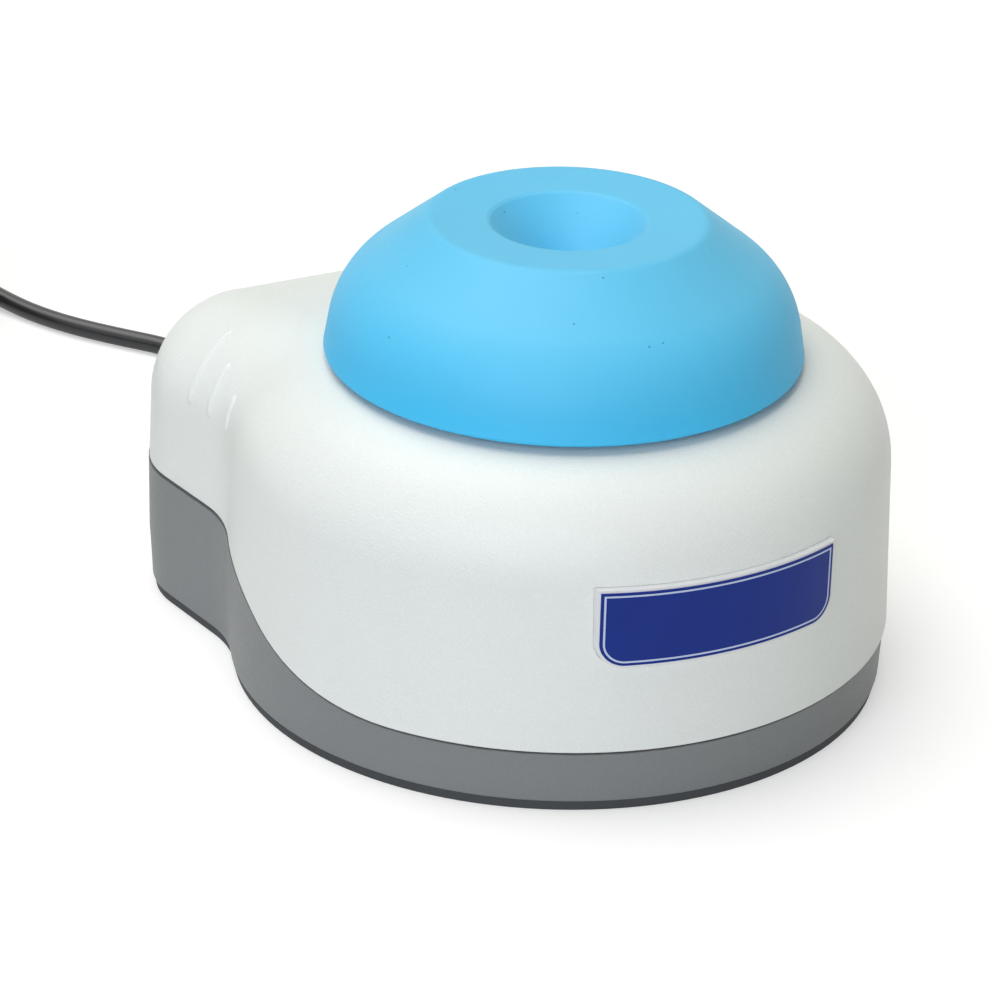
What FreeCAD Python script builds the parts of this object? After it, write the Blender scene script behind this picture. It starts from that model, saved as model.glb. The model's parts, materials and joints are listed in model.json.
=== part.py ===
"""Touch-start vortex mixer: a two-shell body, a sprung motor carriage and an orbiting rubber cup head.

Frame: millimetres, +Z up, origin on the drive axis at the plane the rubber sole rests on.
The badge faces -Y and the tail with its lead points to +Y.
"""
import FreeCAD, Part
import math
import os
import re

import Sketcher

Vector = FreeCAD.Vector
UP = Vector(0, 0, 1)
# Two places nearer than this are taken as one.
CLOSE = 0.01

# Driving dimensions, millimetres and degrees.
SIZES = {
    # Plan outline of the body at the parting line
    "body_radius": 54.5,
    "waist_radius": 20.0,
    "tail_side": 45.6,
    "tail_flare": 7.4,
    "tail_corner": 18.5,
    "tail_back": 64.0,
    # Top cover
    "cover_draft": 2.0,
    "cover_wall": 2.5,
    "cover_round": 17.0,
    "cover_clearance": 1.0,
    "slope_start": 26.0,
    "slope_radius": 70.0,
    "slope_angle": 10.0,
    "cover_hole": 11.0,
    "collar_bore": 14.0,
    "collar_wall": 2.0,
    "collar_height": 2.6,
    # Parting line, level at the front, climbing through two arcs to the tail
    "seam_low": 10.8,
    "seam_high": 23.8,
    "seam_run": 62.0,
    # Grip ribs on the shoulders of the tail
    "rib_width": 0.8,
    "rib_height": 0.25,
    "rib_low": 40.2,
    "rib_back": 36.6,
    "rib_pitch": 6.3,
    "rib_tall": 10.2,
    "rib_step": 2.8,
    # Base shell and sole
    "sole_thickness": 1.6,
    "sole_inset": 1.35,
    "base_step": 0.35,
    "base_draft": 3.0,
    "base_wall": 2.6,
    "base_floor": 2.6,
    "base_round": 0.5,
    # Screws that join the shells
    "case_front_angle": 36.0,
    "case_rear_x": 38.0,
    "case_rear_y": 46.0,
    "boss_radius": 4.2,
    "boss_gap": 2.2,
    "boss_joint": 14.0,
    "case_screw_radius": 1.4,
    "case_screw_grip": 8.0,
    "case_head_radius": 2.8,
    "case_head_height": 2.0,
    "case_head_seat": 6.0,
    "screw_clearance": 0.3,
    "thread_clearance": 0.03,
    # Ballast
    "ballast_gap": 16.5,
    "ballast_thickness": 6.0,
    "ballast_screw_inset": 8.0,
    "ballast_head_radius": 2.6,
    "ballast_head_height": 1.4,
    "ballast_head_sink": 0.1,
    "ballast_thread_land": 0.7,
    # Guide posts, clips, bushes and springs
    "post_ring_radius": 24.0,
    "post_angle": 30.0,
    "post_radius": 2.5,
    "post_foot_radius": 2.0,
    "post_foot": 5.0,
    "post_shoulder_radius": 4.0,
    "post_shoulder": 11.8,
    "post_end": 1.3,
    "clip_radius": 4.5,
    "clip_thickness": 0.8,
    "clip_grip": 2.1,
    "clip_mouth": 3.4,
    "clip_clearance": 0.05,
    "stop_clearance": 0.1,
    "bush_radius": 4.0,
    "bush_flange_radius": 5.5,
    "bush_flange": 1.2,
    "bush_stand": 1.2,
    "slide_clearance": 0.04,
    "seat_clearance": 0.03,
    "spring_mean_radius": 3.4,
    "spring_wire_radius": 0.45,
    "spring_turns": 6,
    "spring_seat": 0.05,
    # Motor carriage and motor
    "motor_gap": 2.3,
    "cap_radius": 13.2,
    "cap_thickness": 2.5,
    "can_radius": 14.0,
    "can_length": 25.0,
    "motor_boss_radius": 5.0,
    "motor_boss": 2.6,
    "plate_radius": 31.0,
    "plate_thickness": 2.0,
    "motor_screw_ring_radius": 9.0,
    "motor_screw_radius": 1.2,
    "motor_screw_depth": 3.0,
    "motor_head_radius": 2.3,
    "motor_head_height": 1.4,
    "terminal_length": 4.0,
    "terminal_width": 2.5,
    "terminal_thickness": 0.5,
    "terminal_clearance": 0.1,
    "shaft_radius": 1.6,
    "shaft_depth": 6.0,
    "shaft_clearance": 0.05,
    # Eccentric crank, bearing and head
    "orbit_radius": 2.0,
    "crank_angle": 240.0,
    "eccentric_clearance": 0.8,
    "eccentric_radius": 8.0,
    "eccentric_thickness": 7.2,
    "eccentric_web": 1.2,
    "counterweight_radius": 15.0,
    "counterweight_thickness": 4.0,
    "counterweight_angle": 160.0,
    "set_screw_radius": 1.25,
    "stub_collar_radius": 4.2,
    "stub_radius": 3.0,
    "stub_end": 1.3,
    "bearing_width": 5.0,
    "bearing_radius": 7.5,
    "race_wall": 1.3,
    "ball_count": 9,
    "ball_clearance": 0.04,
    "stub_clip_radius": 4.8,
    "stub_clip_grip": 2.5,
    "stub_clip_thickness": 0.6,
    "rim_gap": 1.0,
    "press_travel": 0.7,
    "hub_rise": 1.0,
    "hub_radius": 10.5,
    "hub_web": 1.6,
    "race_recess": 0.4,
    "clip_room": 2.1,
    "clip_relief": 0.7,
    "flange_rise": 4.1,
    "flange_radius": 33.6,
    "flange_thickness": 2.4,
    "seal_wall": 1.6,
    "seal_height": 1.8,
    "seal_lip_radius": 20.0,
    "seal_clearance": 0.1,
    "rim_radius": 38.6,
    "rim_wall": 3.2,
    "rim_round": 0.6,
    "shoulder_radius": 36.7,
    "shoulder_rise": 11.1,
    "shoulder_round": 16.0,
    "plateau_radius": 22.2,
    "plateau_dish": 0.6,
    "plateau_edge_round": 2.0,
    "dimple_radius": 12.6,
    "dimple_depth": 10.8,
    "dimple_floor_radius": 3.6,
    "dimple_floor_rise": 1.1,
    "dimple_edge_round": 1.2,
    "dimple_floor_round": 6.0,
    "rubber_web": 1.6,
    "retainer_reach": 1.0,
    "retainer_height": 1.0,
    "push_clearance": 0.05,
    # Badge on the front wall
    "badge_width": 42.0,
    "badge_height": 13.3,
    "badge_low": 25.4,
    "badge_corner": 4.3,
    "badge_sink": 1.5,
    "badge_thickness": 1.65,
    "film_thickness": 0.15,
    "film_margin": 0.45,
    "badge_clearance": 0.05,
    # Touch switch and its bracket
    "bracket_width": 14.0,
    "bracket_sheet": 1.2,
    "bracket_gap": 6.0,
    "bracket_foot": 8.0,
    "bracket_screw_pitch": 9.0,
    "bracket_screw_radius": 1.2,
    "bracket_screw_depth": 4.5,
    "bracket_head_radius": 2.2,
    "bracket_head_height": 1.2,
    "switch_width": 12.8,
    "switch_depth": 5.8,
    "switch_height": 6.5,
    "plunger_radius": 1.0,
    "plunger_offset": 3.2,
    "plunger_rise": 3.9,
    "plunger_sink": 1.5,
    "plunger_gap": 0.1,
    "plunger_clearance": 0.05,
    # Circuit board
    "board_width": 36.0,
    "board_length": 19.0,
    "board_thickness": 1.6,
    "board_gap": 1.5,
    "board_clearance": 0.8,
    "board_screw_pitch": 28.0,
    "board_screw_inset": 5.0,
    "board_screw_radius": 1.2,
    "board_screw_depth": 4.0,
    "board_head_radius": 2.0,
    "board_head_height": 1.2,
    "standoff_radius": 2.6,
    "terminal_block_width": 10.0,
    "terminal_block_length": 8.0,
    "terminal_block_height": 8.0,
    "capacitor_radius": 4.0,
    "capacitor_height": 11.0,
    "capacitor_offset": 11.0,
    # Lead, strain relief and adapter
    "lead_radius": 1.75,
    "exit_height": 16.5,
    "relief_flange_radius": 5.2,
    "relief_flange": 1.4,
    "relief_barrel_radius": 3.6,
    "relief_root_radius": 4.0,
    "relief_tip_radius": 2.7,
    "relief_length": 16.0,
    "relief_clearance": 0.05,
    "coil_x": -61.0,
    "coil_y": 185.0,
    "coil_radius": 26.0,
    "coil_pitch": 4.0,
    "coil_layer": 4.0,
    "coil_rise": 1.1,
    "coil_turns": 2.612,
    "coil_legs": 4,
    "coil_approach": 7.5,
    "tie_width": 5.0,
    "tie_thickness": 0.8,
    "tie_clearance": 0.25,
    "tie_angle": 250.0,
    "adapter_width": 30.0,
    "adapter_length": 42.0,
    "adapter_height": 24.0,
    "adapter_round": 4.0,
    "adapter_nub": 8.0,
    "adapter_nub_radius": 4.0,
    "adapter_nub_tip": 2.6,
    "adapter_run": 28.0,
    "blade_pitch": 12.7,
    "blade_thickness": 1.5,
    "blade_width": 6.3,
    "blade_length": 16.0,
}

# Heights, radii and places worked out from the driving dimensions.
PLACES = {
    "ballast_radius": "body_radius - ballast_gap",
    "ballast_screw_ring": "ballast_radius - ballast_screw_inset",
    "case_front_ring": "ballast_radius + boss_gap + boss_radius",
    "floor_top": "sole_thickness + base_floor",
    "ballast_top": "floor_top + ballast_thickness",
    "cap_z": "ballast_top + motor_gap",
    "can_z": "cap_z + cap_thickness",
    "plate_z": "can_z + can_length",
    "plate_top": "plate_z + plate_thickness",
    "boss_top": "plate_z + motor_boss",
    "bush_z": "plate_z - bush_flange",
    "bush_top": "plate_top + bush_stand",
    "clip_z": "bush_top + stop_clearance",
    "clip_top": "clip_z + clip_thickness",
    "clip_groove_z": "clip_z - clip_clearance",
    "clip_groove_top": "clip_top + clip_clearance",
    "clip_groove_radius": "clip_grip - clip_clearance",
    "bush_bore": "post_radius + slide_clearance",
    "post_top": "clip_top + post_end",
    "post_foot_z": "ballast_top - post_foot",
    "shoulder_top": "ballast_top + post_shoulder",
    "eccentric_z": "plate_top + motor_head_height + eccentric_clearance",
    "eccentric_top": "eccentric_z + eccentric_thickness",
    "shaft_z": "plate_z - shaft_depth",
    "shaft_top": "eccentric_top - eccentric_web - thread_clearance",
    "shaft_bore": "shaft_radius + shaft_clearance",
    "shaft_bore_z": "shaft_z - shaft_clearance",
    "set_screw_z": "eccentric_z + eccentric_thickness / 2",
    "stub_root": "eccentric_top - eccentric_web / 2",
    "cover_under": "eccentric_top + cover_clearance",
    "cover_top": "cover_under + cover_wall",
    "rib_skin_inset": "-rib_height",
    "rib_skin_top": "cover_top + rib_height",
    "collar_top": "cover_top + collar_height",
    "rim_z": "cover_top + rim_gap",
    "hub_z": "rim_z + hub_rise",
    "race_z": "hub_z + race_recess",
    "race_top": "race_z + bearing_width",
    "stub_clip_z": "race_top + clip_clearance",
    "stub_clip_top": "stub_clip_z + stub_clip_thickness",
    "stub_groove_z": "stub_clip_z - clip_clearance",
    "stub_groove_top": "stub_clip_top + clip_clearance",
    "stub_groove_radius": "stub_clip_grip - clip_clearance",
    "stub_top": "race_top + stub_end",
    "relief_top": "race_top + clip_room",
    "hub_top": "relief_top + hub_web",
    "flange_z": "hub_z + flange_rise",
    "flange_top": "flange_z + flange_thickness",
    "dimple_floor_z": "hub_top + rubber_web",
    "dimple_cone_z": "dimple_floor_z + dimple_floor_rise",
    "dimple_rim_z": "dimple_floor_z + dimple_depth - plateau_dish",
    "plateau_z": "dimple_floor_z + dimple_depth",
    "shoulder_z": "rim_z + shoulder_rise",
    "crank_x": "orbit_radius * cos(crank_angle)",
    "crank_y": "orbit_radius * sin(crank_angle)",
    "inner_race_bore": "stub_radius + seat_clearance",
    "inner_race_radius": "inner_race_bore + race_wall",
    "outer_race_bore": "bearing_radius - race_wall",
    "ball_radius": "(outer_race_bore - inner_race_radius) / 2 - ball_clearance",
    "ball_ring": "(outer_race_bore + inner_race_radius) / 2",
    "race_middle": "race_z + bearing_width / 2",
    "hub_bore": "bearing_radius + seat_clearance",
    "hub_bore_top": "race_top + seat_clearance",
    "clip_relief_radius": "stub_clip_radius + clip_relief",
    "head_pocket_radius": "flange_radius + push_clearance",
    "head_pocket_top": "flange_top + push_clearance",
    "head_bore_radius": "hub_radius + push_clearance",
    "head_bore_top": "hub_top + push_clearance",
    "retainer_radius": "head_pocket_radius - retainer_reach",
    "retainer_top": "flange_z - push_clearance",
    "retainer_low": "retainer_top - retainer_height",
    "rim_bore": "rim_radius - rim_wall",
    "seal_bore": "collar_bore + collar_wall + push_clearance",
    "seal_radius": "seal_bore + seal_wall",
    "seal_low": "cover_top + push_clearance",
    "seal_shelf": "seal_low + seal_height",
    "seal_top": "flange_z - press_travel - seal_clearance",
    "seal_lip_tip": "seal_lip_radius - seal_wall / 2",
    "seal_lip_low": "seal_top - seal_wall / 2",
    "collar_radius": "collar_bore + collar_wall",
    "base_inset": "base_step + base_wall",
    "skirt_height": "seam_low - sole_thickness",
    "seam_start": "-seam_run / 2",
    "seam_end": "seam_run / 2",
    "seam_rise": "(seam_high - seam_low) / 2",
    "seam_radius": "(seam_end * seam_end + seam_rise * seam_rise) / (2 * seam_rise)",
    "badge_seat_radius": "body_radius - badge_sink",
    "badge_radius": "badge_seat_radius + badge_thickness",
    "film_radius": "badge_radius + film_thickness",
    "spring_z": "shoulder_top + spring_wire_radius + spring_seat",
    "spring_top": "bush_z - spring_wire_radius - spring_seat",
    "spring_rise": "spring_top - spring_z",
    "back_wall": "tail_back - base_step",
    "board_back": "back_wall - base_wall - board_gap",
    "board_front": "board_back - board_length",
    "board_z": "ballast_top + board_clearance",
    "board_top": "board_z + board_thickness",
    "board_screw_y": "board_front + board_screw_inset",
    "bracket_y": "can_radius + bracket_gap",
    "bracket_back": "bracket_y + bracket_sheet",
    "plunger_top": "plate_z - plunger_gap",
    "switch_top": "plunger_top - plunger_rise",
    "switch_z": "switch_top - switch_height",
    "plunger_z": "switch_top - plunger_sink",
    "plunger_hole_z": "plunger_z - press_travel - plunger_gap",
    "plunger_y": "bracket_back + switch_depth / 2",
    "relief_inner_face": "-base_wall",
    "relief_inner": "relief_inner_face - relief_flange",
    "relief_bore": "lead_radius + relief_clearance",
    "coil_z": "lead_radius + coil_rise",
    "coil_inner": "coil_radius - coil_pitch * coil_turns",
    "coil_top": "coil_z + (coil_legs - 1) * coil_layer",
    "coil_all_turns": "coil_legs * coil_turns",
}

doc = FreeCAD.newDocument("vortex_mixer")


def fill_sheet(name, cells):
    """A spreadsheet with one aliased cell for each entry."""
    sheet = doc.addObject("Spreadsheet::Sheet", name)
    for row, (alias, content) in enumerate(cells, start=1):
        sheet.set(f"A{row}", alias)
        sheet.set(f"B{row}", content)
        sheet.setAlias(f"B{row}", alias)
    doc.recompute()
    return sheet


def linked(text):
    """The formula with each size and place named by its sheet."""
    def with_sheet(match):
        word = match.group(0)
        if word in SIZES:
            return f"Sizes.{word}"
        if word in PLACES:
            return f"Places.{word}"
        return word
    return re.sub(r"[a-z][a-z_]*", with_sheet, text)


sizes = fill_sheet("Sizes", [(alias, str(number)) for alias, number in SIZES.items()])
places = fill_sheet("Places", [(alias, "=" + linked(text)) for alias, text in PLACES.items()])


def number(alias):
    """The value of a size or place, in millimetres or degrees; "0" is itself."""
    if alias == "0":
        return 0.0
    sheet = sizes if alias in SIZES else places
    return float(sheet.get(alias))


def bind(feature, **formulas):
    """Bind properties to formulas of the sheets; two underscores stand for a dot."""
    for name, text in formulas.items():
        feature.setExpression(name.replace("__", "."), linked(text))
    return feature


def place(feature, x="0", y="0", z="0"):
    return bind(feature, Placement__Base__x=x, Placement__Base__y=y, Placement__Base__z=z)


def cylinder(name, radius, height, x="0", y="0", z="0"):
    feature = doc.addObject("Part::Cylinder", name)
    return place(bind(feature, Radius=radius, Height=height), x, y, z)


def box(name, length, width, height, x="0", y="0", z="0"):
    """A box centred on x and y, standing on z."""
    feature = doc.addObject("Part::Box", name)
    bind(feature, Length=length, Width=width, Height=height)
    return place(feature, f"{x} - ({length}) / 2", f"{y} - ({width}) / 2", z)


def group(name, parts):
    """Separate solids held as one object."""
    feature = doc.addObject("Part::Compound", name)
    feature.Links = parts
    return feature


def cut(name, base, *tools):
    feature = doc.addObject("Part::Cut", name)
    feature.Base = base
    feature.Tool = tools[0] if len(tools) == 1 else group(name + "_tools", list(tools))
    return feature


def fuse(name, *parts):
    feature = doc.addObject("Part::MultiFuse", name)
    feature.Shapes = list(parts)
    return feature


def common(name, first, second):
    feature = doc.addObject("Part::Common", name)
    feature.Base = first
    feature.Tool = second
    return feature


def polar(ring, angle):
    """Formulas for a place on a ring about the drive axis."""
    return f"({ring}) * cos({angle})", f"({ring}) * sin({angle})"


def post_places():
    return [polar("post_ring_radius", f"post_angle + {120 * step}") for step in range(3)]


def ballast_screw_places():
    return [polar("ballast_screw_ring", f"post_angle + {60 + 120 * step}") for step in range(3)]


def case_screw_places():
    front = [polar("case_front_ring", f"270 + {side} * (90 - case_front_angle)") for side in (1, -1)]
    rear = [(f"{side} * case_rear_x", "case_rear_y") for side in (1, -1)]
    return front + rear


def plane_of(body, role):
    return [feature for feature in body.Origin.OriginFeatures if feature.Role == role][0]


def new_sketch(body, name, role, height=None):
    """A sketch on one of the body's own planes, raised along the plane's normal."""
    sketch = body.newObject("Sketcher::SketchObject", name)
    sketch.AttachmentSupport = [(plane_of(body, role), "")]
    sketch.MapMode = "FlatFace"
    if height:
        bind(sketch, AttachmentOffset__Base__z=height)
    return sketch


def constrain(sketch, constraint, formula=None):
    index = sketch.addConstraint(constraint)
    if formula:
        sketch.setExpression(f"Constraints[{index}]", linked(formula))


def polygon(sketch, corners):
    """A closed polygon whose corners lie at named places; "0" is an axis."""
    points = [[number(name) for name in corner] for corner in corners]
    count = len(points)
    for start, end in zip(points, points[1:] + points[:1]):
        sketch.addGeometry(Part.LineSegment(Vector(*start, 0), Vector(*end, 0)), False)
    for index, corner in enumerate(corners):
        constrain(sketch, Sketcher.Constraint("Coincident", index, 2, (index + 1) % count, 1))
        for kind, axis, name, value in zip(("DistanceX", "DistanceY"), (-2, -1), corner, points[index]):
            if name == "0":
                constrain(sketch, Sketcher.Constraint("PointOnObject", index, 1, axis))
            else:
                constrain(sketch, Sketcher.Constraint(kind, -1, 1, index, 1, value), name)


def turned(name, corners, x="0", y="0", z="0"):
    """A body turned about its own Z axis from a profile of (radius, height) names."""
    body = doc.addObject("PartDesign::Body", name)
    sketch = new_sketch(body, name + "_profile", "XZ_Plane")
    polygon(sketch, corners)
    turn = body.newObject("PartDesign::Revolution", name + "_turn")
    turn.Profile = sketch
    turn.ReferenceAxis = (sketch, ["V_Axis"])
    turn.Angle = 360
    place(body, x, y, z)
    doc.recompute()
    return body


def round_edges(body, name, radius, chosen):
    """Round the edges of the body's last feature that the test picks out."""
    base = body.Tip
    shape = base.Shape
    edges = [f"Edge{index}" for index, edge in enumerate(shape.Edges, start=1) if chosen(shape, edge)]
    fillet = body.newObject("PartDesign::Fillet", name)
    fillet.Base = (base, edges)
    bind(fillet, Radius=radius)
    doc.recompute()
    return fillet


def circle_at(radius, height):
    """Picks the full circles of one radius at one height."""
    def chosen(shape, edge):
        extent = edge.BoundBox
        same_height = extent.ZLength < CLOSE and abs(extent.ZMin - number(height)) < CLOSE
        is_circle = isinstance(edge.Curve, Part.Circle)
        return same_height and is_circle and abs(edge.Curve.Radius - number(radius)) < CLOSE
    return chosen


def between_top_and_sides(shape, edge):
    """Picks the edges where an upward face meets a side wall."""
    slopes = []
    for face in shape.ancestorsOfType(edge, Part.Face):
        u_low, u_high, v_low, v_high = face.ParameterRange
        slopes.append(face.normalAt((u_low + u_high) / 2, (v_low + v_high) / 2).z)
    return len(slopes) == 2 and max(slopes) > 0.9 and min(abs(slope) for slope in slopes) < 0.3


def outline_points(inset):
    """Centres and tangent points of the right half of the plan outline, moved in by the inset."""
    front = number("body_radius") - inset
    waist = number("waist_radius") + inset
    side = number("tail_side") - inset
    corner = number("tail_corner") - inset
    back = number("tail_back") - inset
    flare = math.radians(number("tail_flare"))
    outward = Vector(math.cos(flare), -math.sin(flare), 0)
    along = Vector(math.sin(flare), math.cos(flare), 0)
    waist_reach = math.sqrt((front + waist) ** 2 - (side + waist) ** 2)
    waist_centre = outward * (side + waist) + along * waist_reach
    corner_reach = (back - corner - (side - corner) * outward.y) / along.y
    corner_centre = outward * (side - corner) + along * corner_reach
    return {
        "front": front, "waist": waist, "corner": corner, "back": back, "side": side,
        "waist_centre": waist_centre,
        "front_end": waist_centre * (front / (front + waist)),
        "side_start": waist_centre - outward * waist,
        "corner_centre": corner_centre,
        "side_end": corner_centre + outward * corner,
        "back_end": corner_centre + Vector(0, corner, 0),
    }


def mirrored(point):
    return Vector(-point.x, point.y, point.z)


def arc_between(centre, radius, start, end):
    """The arc that runs anticlockwise from start to end."""
    low = math.atan2(start.y - centre.y, start.x - centre.x)
    high = math.atan2(end.y - centre.y, end.x - centre.x)
    if high < low:
        high += 2 * math.pi
    return Part.ArcOfCircle(Part.Circle(centre, UP, radius), low, high)


def draw_outline(sketch, inset):
    """The plan outline: round front, drawn-in waist, flared tail with round corners."""
    plan = outline_points(number(inset))
    origin = Vector(0, 0, 0)
    waist, corner = plan["waist"], plan["corner"]
    left = {key: mirrored(point) for key, point in plan.items() if isinstance(point, FreeCAD.Vector)}
    front_arc = arc_between(origin, plan["front"], left["front_end"], plan["front_end"])
    pieces = [
        front_arc,
        arc_between(plan["waist_centre"], waist, plan["side_start"], plan["front_end"]),
        Part.LineSegment(plan["side_start"], plan["side_end"]),
        arc_between(plan["corner_centre"], corner, plan["side_end"], plan["back_end"]),
        Part.LineSegment(plan["back_end"], left["back_end"]),
        arc_between(left["corner_centre"], corner, left["back_end"], left["side_end"]),
        Part.LineSegment(left["side_end"], left["side_start"]),
        arc_between(left["waist_centre"], waist, left["front_end"], left["side_start"]),
    ]
    for piece in pieces:
        sketch.addGeometry(piece, False)
    front, right_waist, right_side, right_corner = range(4)
    back, left_corner, left_side, left_waist = range(4, 8)
    joins = [
        (front, 2, right_waist, 2), (right_waist, 1, right_side, 1), (right_side, 2, right_corner, 1),
        (right_corner, 2, back, 1), (back, 2, left_corner, 1), (left_corner, 2, left_side, 1),
        (left_side, 2, left_waist, 2), (left_waist, 1, front, 1),
    ]
    for join in joins:
        constrain(sketch, Sketcher.Constraint("Tangent", *join))
    constrain(sketch, Sketcher.Constraint("Coincident", front, 3, -1, 1))
    constrain(sketch, Sketcher.Constraint("Horizontal", back))
    radius_rules = [
        (front, "front", "body_radius - ({})"), (right_waist, "waist", "waist_radius + ({})"),
        (left_waist, "waist", "waist_radius + ({})"), (right_corner, "corner", "tail_corner - ({})"),
        (left_corner, "corner", "tail_corner - ({})"),
    ]
    for piece, key, rule in radius_rules:
        constrain(sketch, Sketcher.Constraint("Radius", piece, plan[key]), rule.format(inset))
    side_rule = f"tail_side - ({inset})"
    for piece, sign in ((right_side, 1), (left_side, -1)):
        angle = sign * math.radians(90 - number("tail_flare"))
        constrain(sketch, Sketcher.Constraint("Distance", -1, 1, piece, plan["side"]), side_rule)
        constrain(sketch, Sketcher.Constraint("Angle", piece, angle), f"{sign} * (90 - tail_flare) * 1 deg")
    back_rule = f"tail_back - ({inset})"
    constrain(sketch, Sketcher.Constraint("DistanceY", -1, 1, back, 1, plan["back"]), back_rule)


def outline_pad(name, inset, height, length, draft="0", down=False):
    """A body padded from the plan outline at one height, drawn in by its draft."""
    body = doc.addObject("PartDesign::Body", name)
    sketch = new_sketch(body, name + "_outline", "XY_Plane", height)
    draw_outline(sketch, inset)
    pad = body.newObject("PartDesign::Pad", name + "_pad")
    pad.Profile = sketch
    pad.Reversed = down
    bind(pad, Length=length, TaperAngle=f"-({draft})")
    doc.recompute()
    return body


def draw_slope(sketch, top, reach):
    """Side view of the space over the cover: level, then falling to the tail through one arc."""
    start, radius = number("slope_start"), number("slope_radius")
    angle = math.radians(number("slope_angle"))
    level = number(top)
    far = number("tail_back") + reach
    near = -number("body_radius") - reach
    high = level + reach
    arc_end = Vector(start + radius * math.sin(angle), level - radius * (1 - math.cos(angle)), 0)
    slope_end = Vector(far, arc_end.y - (far - arc_end.x) * math.tan(angle), 0)
    centre = Vector(start, level - radius, 0)
    corners = [
        Vector(near, level, 0), Vector(start, level, 0), slope_end, Vector(far, high, 0),
        Vector(near, high, 0),
    ]
    bend = Part.ArcOfCircle(Part.Circle(centre, UP, radius), math.pi / 2 - angle, math.pi / 2)
    pieces = [
        Part.LineSegment(corners[0], corners[1]), bend, Part.LineSegment(arc_end, corners[2]),
        Part.LineSegment(corners[2], corners[3]), Part.LineSegment(corners[3], corners[4]),
        Part.LineSegment(corners[4], corners[0]),
    ]
    for piece in pieces:
        sketch.addGeometry(piece, False)
    top_line, arc, slope, far_line, lid, near_line = range(len(pieces))
    for join in ((top_line, 2, arc, 2), (arc, 1, slope, 1)):
        constrain(sketch, Sketcher.Constraint("Tangent", *join))
    corner_joins = (
        (slope, 2, far_line, 1), (far_line, 2, lid, 1), (lid, 2, near_line, 1), (near_line, 2, top_line, 1),
    )
    for join in corner_joins:
        constrain(sketch, Sketcher.Constraint("Coincident", *join))
    for line in (top_line, lid):
        constrain(sketch, Sketcher.Constraint("Horizontal", line))
    for line in (far_line, near_line):
        constrain(sketch, Sketcher.Constraint("Vertical", line))
    constrain(sketch, Sketcher.Constraint("Radius", arc, radius), "slope_radius")
    constrain(sketch, Sketcher.Constraint("DistanceX", -1, 1, top_line, 2, start), "slope_start")
    constrain(sketch, Sketcher.Constraint("DistanceY", -1, 1, top_line, 2, level), top)
    constrain(sketch, Sketcher.Constraint("Angle", slope, -angle), "-slope_angle * 1 deg")
    constrain(sketch, Sketcher.Constraint("DistanceX", -1, 1, far_line, 1, far), f"tail_back + {reach}")
    constrain(sketch, Sketcher.Constraint("DistanceX", near_line, 1, -1, 1, -near), f"body_radius + {reach}")
    constrain(sketch, Sketcher.Constraint("DistanceY", -1, 1, lid, 1, high), f"{top} + {reach}")


def cover_form(name, inset, top, rounding):
    """A drafted body with a falling tail and a large round-over, as the cover's outside or inside."""
    spare = 20
    body = outline_pad(name, inset, "seam_low", f"{top} - seam_low + {spare}", "cover_draft")
    whole = body.Shape.Volume
    sketch = new_sketch(body, name + "_slope", "YZ_Plane")
    draw_slope(sketch, top, spare + 10)
    pocket = body.newObject("PartDesign::Pocket", name + "_slope_cut")
    pocket.Profile = sketch
    pocket.Midplane = True
    bind(pocket, Length="4 * body_radius")
    doc.recompute()
    if body.Shape.Volume >= whole:
        raise RuntimeError(f"{name}: the slope cut took nothing away")
    round_edges(body, name + "_round", rounding, between_top_and_sides)
    return body


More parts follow.
